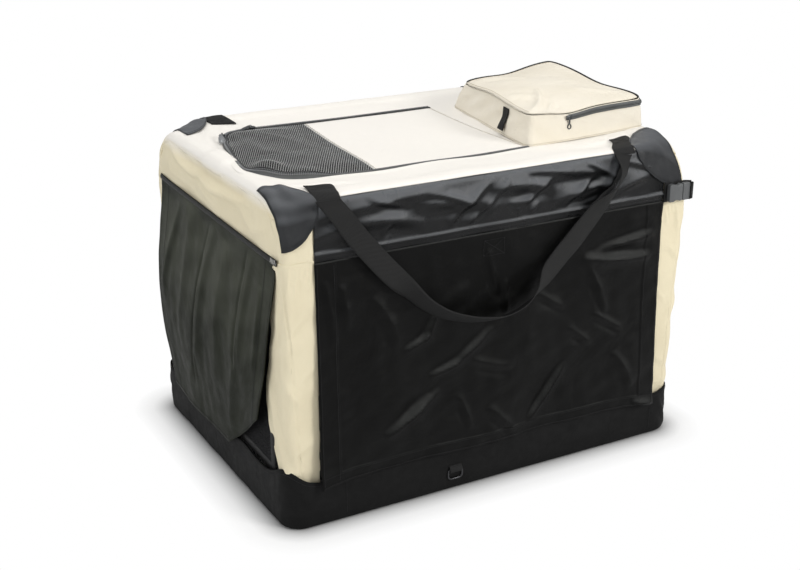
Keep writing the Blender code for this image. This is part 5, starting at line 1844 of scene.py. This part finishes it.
def hatchSliders():
    for word, look in sliderLooks.items():
        node, pull = f"hatch_{word}_slider", f"hatch_{word}_pull"
        low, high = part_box(node)
        centre = (low + high) / 2
        x, y = centre.x + look["shift"][0], centre.y + look["shift"][1]
        z = float(hatchZ(np.array(centre.x), np.array(centre.y))) + 0.0016
        sliderBody(f"hatch{word.title()}Slider", (x, y, z), look["heading"], node)
        # the pull hangs on the slider's bridge
        turn, reach = math.radians(look["heading"]), look["reach"]
        root = (x + reach * math.cos(turn), y + reach * math.sin(turn), z + 0.0052)
        pullPlate(f"hatch{word.title()}Pull", root, *look["pull"], look["metal"], pull)


hatchCloth()
hatchNet()
hatchZip()
hatchSliders()
print("hatch made")


# Roof pocket

pocket = {
    "foot": ((0.126, -0.176), (0.398, -0.170), (0.402, 0.168), (0.178, 0.165)),
    "rim": ((0.137, -0.163), (0.395, -0.160), (0.398, 0.142), (0.184, 0.135)),
    "heights": (0.6290, 0.6330, 0.6470, 0.6260),
    "crown": 0.0105,
    "corner": 0.055,
    "middle": (0.275, 0, 0.6),
}


def quadPoint(quad, u, v):
    # a point in an oblong's slack outline, u from its left and v from its front
    first, second, third, fourth = (np.asarray(q, float) for q in quad)
    weights = ((1 - u) * (1 - v), u * (1 - v), u * v, (1 - u) * v)
    if first.ndim == 0:
        return sum(w * q for w, q in zip(weights, (first, second, third, fourth)))
    return tuple(sum(w * q[k] for w, q in zip(weights, (first, second, third, fourth))) for k in (0, 1))


pocketFolds = [
    (0.02, 0.02, 0.33, 0.42, 0.030, 0.0065, -0.05),
    (0.00, 0.40, 0.30, 0.20, 0.040, 0.0030, 0.03),
    (0.10, 0.95, 0.45, 0.70, 0.050, 0.0030, 0.03),
    (0.60, 0.30, 0.95, 0.12, 0.040, 0.0026, 0.0),
    (0.18, 0.02, 0.30, 0.16, 0.025, 0.0030, 0.0),
]
pocketDents = (
    (-0.0070, 0.34, 0.17, "front", 0.20),
    (-0.0070, 0.45, 0.22, "right", 0.25),
    (-0.0060, 0.50, 0.22, "back", 0.25),
    (0.0060, 0.55, 0.25, "left", 0.25),
)


def lidPlace(u, v):
    u, v = np.clip(u, 0, 1), np.clip(v, 0, 1)
    x, y = quadPoint(pocket["rim"], u, v)
    square = (2 * u - 1) ** 8 * (2 * v - 1) ** 8
    x = x - 0.007 * square * np.sign(u - 0.5)
    y = y - 0.007 * square * np.sign(v - 0.5)
    soft = np.clip(np.minimum(np.minimum(u, 1 - u), np.minimum(v, 1 - v)) / 0.08, 0, 1)
    edges = {"front": (u, v), "right": (v, 1 - u), "back": (u, 1 - v), "left": (v, u)}
    rim = quadPoint(pocket["heights"], u, v)
    for high, middle, wide, edge, deep in pocketDents:
        along, inwards = edges[edge]
        rim = rim + high * np.exp(-((along - middle) / wide) ** 2) * np.exp(-(inwards / deep) ** 2)
    crown = pocket["crown"] * np.clip(np.sin(math.pi * u) * np.sin(math.pi * v), 0, 1) ** 0.7
    z = rim + crown + creases(u, v, pocketFolds) * soft + 0.0008 * ripple(x, y, 0.08, 111) * soft
    return x, y, z + 0.0022


def lidRun(us, vs, shift):
    # points along an edge of the lid, each moved by shift
    x, y, z = lidPlace(*np.broadcast_arrays(np.asarray(us, float), np.asarray(vs, float)))
    return np.stack([x, y, z], -1) + shift


def pocketLid():
    us, vs = np.linspace(0, 1, 72), np.linspace(0, 1, 90)
    obj = gridPiece("pocketLid", us, vs, lidPlace, (0, 0, 1), (0.26, 0.34))
    node, on = "pocket_lid", ["pocketWalls"]
    finishSheet(obj, cloth["creamPocket"], node, node, 0.0018)
    back = lidRun(np.linspace(0, 1, 60), 1, (0, 0.0018, -0.0006))
    back[-1, 0] += 0.0018
    right = lidRun(1, np.linspace(1, 0, 70)[1:], (0.0018, 0, -0.0006))
    points = np.concatenate([back, right])
    for _ in range(2):
        points[1:-1] = (points[:-2] + 2 * points[1:-1] + points[2:]) / 4
    tubeAlong("lidPiping", points.tolist(), 0.0026, cloth["binding"], "pocket_lid")
    front = lidRun(np.linspace(0, 0.24, 20), 0, (0, -0.0014, -0.0008))
    left = lidRun(0, np.linspace(0, 1, 60), (-0.0014, 0, -0.0008))
    for name, seam in (("lidSeamFront", front), ("lidSeamLeft", left)):
        tubeAlong(name, seam.tolist(), 0.0012, cloth["creamPocket"], "pocket_lid")
    rows = [surfacePath(lidPlace, 0.018, np.linspace(0.03, 0.97, 90), 0.0004)]
    rows.append(surfacePath(lidPlace, np.linspace(0.03, 0.97, 70), 0.982, 0.0004))
    stitchRows("lidStitches", rows, "cream", "pocket_lid")


def pocketOutline(a, h=1.0):
    # plan of the pocket at height h, a round it from the middle of its front with each side about 1 long
    u, v, nu, nv, total = roundedPlan(a, 0.5, 0.5, pocket["corner"])
    u, v = u + 0.5, v + 0.5
    footX, footY = quadPoint(pocket["foot"], u, v)
    rimX, rimY = quadPoint(pocket["rim"], u, v)
    nx, ny = nu / 0.26, nv / 0.32
    size = np.sqrt(nx * nx + ny * ny)
    return footX + (rimX - footX) * h, footY + (rimY - footY) * h, nx / size, ny / size, total, u, v


def pocketWallPlace(a, h):
    a, h = np.broadcast_arrays(np.asarray(a, float), np.asarray(h, float))
    x, y, nx, ny, total, u, v = pocketOutline(a, h)
    _, _, top = lidPlace(u, v)
    top = top - 0.0030
    low = crate["top"] + roofSag(x, y) + 0.0006
    z = low + (top - low) * h
    middle = np.sin(math.pi * np.clip(h, 0, 1))
    bulge = 0.0020 * middle + 0.0010 * ripple(x + y, z + 0.6 * x, 0.06, 121) * middle
    left = np.clip(-nx, 0, 1)
    sunk = 0.0040 * np.sin(math.pi * v) ** 2 + 0.0018 * np.sin(v * 26 + 9 * h) * np.sin(math.pi * v)
    bulge = bulge - left * middle * sunk
    corner = np.exp(-((u + v) / 0.10) ** 2)
    bulge = bulge - 0.0060 * corner * middle * (0.3 + 0.7 * h)
    return x + nx * bulge, y + ny * bulge, z


def fromPocket(centres):
    return (centres - pocket["middle"]) * [1, 1, 0]


def pocketWalls():
    total = float(pocketOutline(np.array([0.0]))[4])
    us, vs = np.linspace(0, total, 301), np.linspace(0, 1, 24)
    obj = gridPiece("pocketWalls", us, vs, pocketWallPlace, fromPocket, (0.3, 0.06))
    mergeDoubles(obj)
    finishSheet(obj, cloth["creamPocket"], "roof", "pocket_body", 0.0018)
    rows = [surfacePath(pocketWallPlace, np.linspace(0, total, 300), 0.06, 0.0005)]
    stitchRows("pocketFootStitches", rows, "cream", "roof")

    def bandPlace(a, v):
        # the black zip band under the lid's front and right edges
        x, y, z = pocketWallPlace(a, 0.985 - 0.20 * v)
        nx, ny = pocketOutline(a)[2:4]
        off = 0.0016 + 0.0008 * np.sin(math.pi * np.clip(v, 0, 1))
        return x + nx * off, y + ny * off, z

    first, last = -0.5 + 0.335, 1.5 - pocket["corner"]
    us, vs = marks(first, last, 0.013), np.linspace(0, 1, 8)
    band = gridPiece("pocketZipBand", us, vs, bandPlace, fromPocket, (0.3, 0.013))
    finishSheet(band, plain["zipTape"], "roof", None, 0.0008)
    path = surfacePath(bandPlace, np.linspace(first, last, 400), 0.5, 0.0006, -1)
    toothRow("pocketZipTeeth", 0.0008, 0.0036, pathFrames(*path, 0.0020), plain["zipTape"], "roof")


def pocketTab():
    # the small black tab sewn on the pocket's left side
    def place(w, v):
        total = pocketOutline(np.array([0.0]))[4]
        fromFront = 0.30 + (w + 0.004 * v) / 0.32
        a = total - 0.5 + pocket["corner"] - pocket["corner"] * math.pi / 2 - (fromFront - pocket["corner"])
        x, y, z = pocketWallPlace(a, 0.90 - 0.72 * v)
        return x - 0.0030 - 0.004 * v * v, y, z

    us, vs = np.linspace(-0.011, 0.011, 9), np.linspace(0, 1, 14)
    obj = gridPiece("pocketTab", us, vs, place, (-1, 0, 0.3), (1, 0.04))
    finishSheet(obj, webbing, "roof", None, 0.0014)


def pocketSlider():
    low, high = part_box("pocket_slider")
    centre = (low + high) / 2
    left, right = pocket["rim"][0][0], pocket["rim"][1][0]
    x, y, z = pocketWallPlace((centre.x + 0.010 - left) / (right - left) - 0.5, 0.885)
    shield = blockPiece((0.0110, 0.0032, 0.0085))
    applyModifier(shield, "BEVEL", width=0.0010, segments=2, limit_method="ANGLE")
    smoothShade(shield, 40)
    shield.location = (float(x), float(y) - 0.0042, float(z))
    stem = blockPiece((0.0034, 0.0013, 0.0110), (0, 0, -0.0055))
    applyModifier(stem, "BEVEL", width=0.0004, segments=2, limit_method="ANGLE")
    loop = ringPiece(0.0042, 0.0010, 28, (0, 0, -0.0150))
    loop.scale = (0.85, 1, 1.25)
    settle(loop)
    pull = joinPieces("pocketPull", [stem, loop])
    pull.location = (float(x), float(y) - 0.0064, float(z) - 0.001)
    smoothShade(pull, 40)
    settle(shield, "pocketSliderShield")
    settle(pull)
    for obj, node in ((shield, "pocket_slider"), (pull, "pocket_pull")):
        setMaterial(obj, plain["gunMetal"])
        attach(obj, node)
        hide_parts(node)


pocketWalls()
pocketLid()
pocketTab()
pocketSlider()
print("pocket made")


# Webbing handles

handleLooks = {
    "front": {
        "side": -1,
        "points": [
            (-0.326, 0.575), (-0.282, 0.511), (-0.238, 0.458), (-0.200, 0.416), (-0.163, 0.378),
            (-0.125, 0.352), (-0.071, 0.332), (-0.015, 0.324), (0.029, 0.334), (0.058, 0.353), (0.084, 0.378),
            (0.115, 0.409), (0.157, 0.450), (0.188, 0.485), (0.222, 0.522), (0.243, 0.555), (0.252, 0.575)
        ],
        "twist": [
            (0.0, 0), (0.18, 2), (0.235, 12), (0.285, 54), (0.45, 57), (0.54, 64), (0.60, 60), (0.645, 42),
            (0.685, 4), (0.78, -3), (0.865, 8), (0.915, 50), (0.960, 38), (1.0, 4)
        ],
        "ends": ((-0.313, 0.226, -0.326), (0.300, 0.212, 0.256)),
    },
    "back": {
        "side": 1,
        "points": [
            (-0.294, 0.575), (-0.270, 0.520), (-0.240, 0.465), (-0.200, 0.415), (-0.150, 0.372),
            (-0.090, 0.342), (-0.030, 0.328), (0.030, 0.328), (0.090, 0.342), (0.150, 0.372), (0.200, 0.415),
            (0.240, 0.465), (0.270, 0.520), (0.294, 0.575)
        ],
        "twist": [(0.0, 0), (0.35, 6), (0.45, 45), (0.55, 60), (0.65, 20), (1.0, 0)],
        "ends": ((-0.290, 0.222, -0.294), (0.290, 0.222, 0.294)),
    },
}
strap = {"width": 0.038, "thick": 0.0018, "marks": 150}


def splineThrough(points, count):
    # a smooth run through points, by their distance
    points = np.asarray(points, float)
    run = runOf(points)
    t = np.linspace(0, run[-1], count)
    out = np.stack([np.interp(t, run, points[:, k]) for k in range(points.shape[1])], -1)
    for _ in range(12):
        out[1:-1] = 0.25 * out[:-2] + 0.5 * out[1:-1] + 0.25 * out[2:]
    return out, run[-1]


def handles():
    for word, look in handleLooks.items():
        side, count = look["side"], strap["marks"]
        centre, length = splineThrough(look["points"], count)
        t = np.linspace(0, 1, count)
        twist = np.radians(np.interp(t, *zip(*look["twist"])))
        for _ in range(6):
            twist[1:-1] = 0.25 * twist[:-2] + 0.5 * twist[1:-1] + 0.25 * twist[2:]
        tangent = np.gradient(centre, axis=0)
        tangent /= np.linalg.norm(tangent, axis=1, keepdims=True)
        # near its ends the strap turns square to the roof's edge
        farEnd = smooth((t - 0.975) / 0.025) * (0.5 if word == "front" else 1)
        square = np.maximum(smooth((0.11 - t) / 0.11), farEnd)[:, None]
        inPlane = np.stack([-tangent[:, 1], tangent[:, 0]], -1)
        level = np.stack([np.where(t < 0.5, 1.15, -1.15), 0 * t], -1)
        inPlane = inPlane * (1 - square) + level * square
        lowEnd = 0.0135 + 0.0012 * np.sin(t * 9) - 0.0125 * smooth((centre[:, 1] - 0.545) / 0.030)

        def place(k, w):
            i = np.clip(np.round(k).astype(int), 0, count - 1)
            off = crate["halfWidth"] + lowEnd[i] + np.abs(np.sin(twist[i])) * (strap["width"] / 2 + 0.001)
            across = w * strap["width"]
            cup = 0.0012 * (1 - (2 * w) ** 2)
            x = centre[i, 0] + inPlane[i, 0] * across * np.cos(twist[i])
            z = centre[i, 1] + inPlane[i, 1] * across * np.cos(twist[i])
            y = off + across * np.sin(twist[i]) + cup
            return x, side * y, z

        us, vs, cut = np.arange(count), np.linspace(-0.5, 0.5, 9), (length / (count - 1), strap["width"])
        obj = gridPiece(word + "Handle", us, vs, place, (0, side, 0), cut)
        name, on = word + "_handle", [word + "LeftHandleEnd"]
        finishSheet(obj, webbing, name, name, strap["thick"], handleFold)


def handleEnds():
    for word, look in handleLooks.items():
        side = look["side"]
        for short, slant, (x0, y0, x1) in zip(("Left", "Right"), (0.33, -0.20), look["ends"]):
            def place(w, v):
                # from the sewn end on the roof to the edge, where the handle goes on
                bend = smooth(v)
                x = x0 + (x1 - x0) * bend + w * 1.15
                start = middleS(x) - y0 + side * slant * w * (1 - bend)
                s = start + (-0.0050 - start) * v
                px, py, pz = coverPoint(x, s, side, 0.0030 + 0.0006 * np.sin(w * 160))
                return px, py, pz + roofSag(px, py)

            ws, vs, up = np.linspace(-0.019, 0.019, 11), np.linspace(0, 1, 44), (0, 0.4 * side, 1)
            obj = gridPiece(word + short + "HandleEnd", ws, vs, place, up, (1, 0.080), turned=True)
            on, replaced = ["roofCloth"], f"{word}_{short.lower()}_handle_end"
            finishSheet(obj, webbing, "roof", replaced, strap["thick"])
            # two rows across the strap and a cross between them
            half, low, high = 0.016, 0.04, 0.42
            slope = np.linspace(low, high, 20)
            rows = [surfacePath(place, np.linspace(-half, half, 14), v, 0.0006, side) for v in (low, high)]
            rows += [surfacePath(place, np.linspace(w, -w, 20), slope, 0.0006, side) for w in (-half, half)]
            stitchRows(word + short + "EndStitches", rows, "darkFine", "roof")


handles()
handleEnds()
print("handles made")


# Closing strap and side-release buckle

buckle = {
    "z": 0.490,
    "y": -0.296,
    "tailRadius": 0.011,
    # upper halves of the outlines in X and Z, and how many points of the lower half come first
    "body": (1, [(0.3840, 0.0150), (0.3790, 0.0165), (0.3740, 0.0140), (0.3690, 0.0140), (0.3640, 0.0165),
                 (0.3560, 0.0165), (0.3540, 0.0140)]),
    "arms": (3, [(0.4020, 0.0140), (0.4000, 0.0160), (0.3850, 0.0160), (0.3850, 0.0112), (0.3700, 0.0150),
                 (0.3660, 0.0118), (0.3650, 0.0075), (0.3800, 0.0060), (0.3800, 0.0022), (0.3660, 0.0016)]),
    "head": (3, [(0.4020, 0.0135), (0.3990, 0.0162), (0.3852, 0.0162)]),
}


def buckleOutline(key):
    first, upper = buckle[key]
    lower = [(x, -z) for x, z in reversed(upper)]
    return [(x, buckle["z"] + z) for x, z in lower[-first:] + upper + lower[:-first]]


def extrudeShape(name, outline, back, front, bevel=0.0012, segments=3):
    # a plate cut to an outline in X and Z, extruded towards the front and rounded off
    deselectAll()
    bpy.ops.mesh.primitive_circle_add(vertices=len(outline), radius=1, fill_type="NGON")
    obj = bpy.context.object
    for v, (x, z) in zip(obj.data.vertices, outline):
        v.co = (x, back, z)
    obj.data.update()
    bpy.ops.object.mode_set(mode="EDIT")
    bpy.ops.mesh.select_all(action="SELECT")
    bpy.ops.mesh.extrude_region_move(TRANSFORM_OT_translate={"value": (0, front - back, 0)})
    bpy.ops.mesh.select_all(action="SELECT")
    bpy.ops.mesh.normals_make_consistent(inside=False)
    bpy.ops.object.mode_set(mode="OBJECT")
    obj.name = obj.data.name = name
    applyModifier(obj, "BEVEL", width=bevel, segments=segments, limit_method="ANGLE")
    smoothShade(obj, 35)
    return obj


def closingBuckle():
    y, z, radius = buckle["y"], buckle["z"], buckle["tailRadius"]

    def strapPlace(x, w):
        curl = np.maximum(x - 0.396, 0)
        return x - 0.15 * curl, y + 0.0020 + 0 * w - 0.6 * curl, z + w

    us, vs = marks(0.350, 0.4075, 0.0025), np.linspace(-0.018, 0.018, 9)
    loop = gridPiece("closingStrap", us, vs, strapPlace, (0, -1, 0))
    finishSheet(loop, webbing, "roof", "closing_strap", 0.0018)
    body = extrudeShape("buckleBody", buckleOutline("body"), y, y - 0.0092)
    cutAway(body, blockPiece((0.0245, 0.0052, 0.0246), (0.374, y - 0.0046, z)))
    smoothShade(body, 35)
    setMaterial(body, plain["greyPlastic"])
    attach(body, "roof")
    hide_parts("buckle_body")
    prongs = extrudeShape("bucklePlug", buckleOutline("arms"), y - 0.0026, y - 0.0066, 0.0006, 2)
    head = extrudeShape("buckleHead", buckleOutline("head"), y - 0.0006, y - 0.0086)
    prongs = joinPieces("buckleProngs", [prongs, head])
    setMaterial(prongs, plain["greyPlastic"])
    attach(prongs, "buckle_prongs")
    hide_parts("buckle_prongs")

    def tailPlace(s, w):
        # the loop of webbing through the plug's bar
        a = s / radius
        return 0.4015 + radius * np.sin(a) * 0.8, y - 0.0050 - 0.0058 * np.cos(a) + 0 * w, z + w * 0.93

    us, vs = np.linspace(0, radius * math.pi, 16), np.linspace(-0.016, 0.016, 7)
    tail = gridPiece("plugStrap", us, vs, tailPlace, (1, 0, 0))
    finishSheet(tail, webbing, "buckle_prongs", None, 0.0014)


footLook = {"x": -0.085, "y": -0.2929, "z": 0.042, "radius": 0.0085, "wire": 0.0018}


def footStrap():
    # the webbing loop at the foot of the front, with its metal ring
    radius = footLook["radius"]

    def place(w, s):
        bend, free = np.clip(s / radius, 0, math.pi), np.maximum(s / radius - math.pi, 0)
        y = footLook["y"] - 0.0006 - radius * np.sin(bend) * 0.9
        z = footLook["z"] - radius * np.cos(bend) + free * radius
        return footLook["x"] + w, y - 0.0004 * free, z

    us, vs = np.linspace(-0.0125, 0.0125, 9), np.linspace(0, radius * math.pi + 0.010, 26)
    loop = gridPiece("footLoop", us, vs, place, (0, -1, 0), turned=True)
    finishSheet(loop, webbing, "base", "foot_loop", 0.0014)
    low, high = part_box("foot_ring")
    centre = (low + high) / 2
    half = (high.x - low.x) / 2 - 0.0020
    tall = (high.z - low.z) / 2 - footLook["wire"]
    points = []
    for k in range(48):
        a = 2 * math.pi * k / 48
        x = math.copysign(abs(math.cos(a)) ** 0.55, math.cos(a)) * half
        z = math.copysign(abs(math.sin(a)) ** 0.55, math.sin(a)) * tall
        points.append((centre.x + x, centre.y, centre.z + z))
    ring = tubeAlong("footRing", points, footLook["wire"], plain["darkMetal"], "foot_ring", closed=True)
    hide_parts("foot_ring")


closingBuckle()
footStrap()
print("buckle and foot strap made")
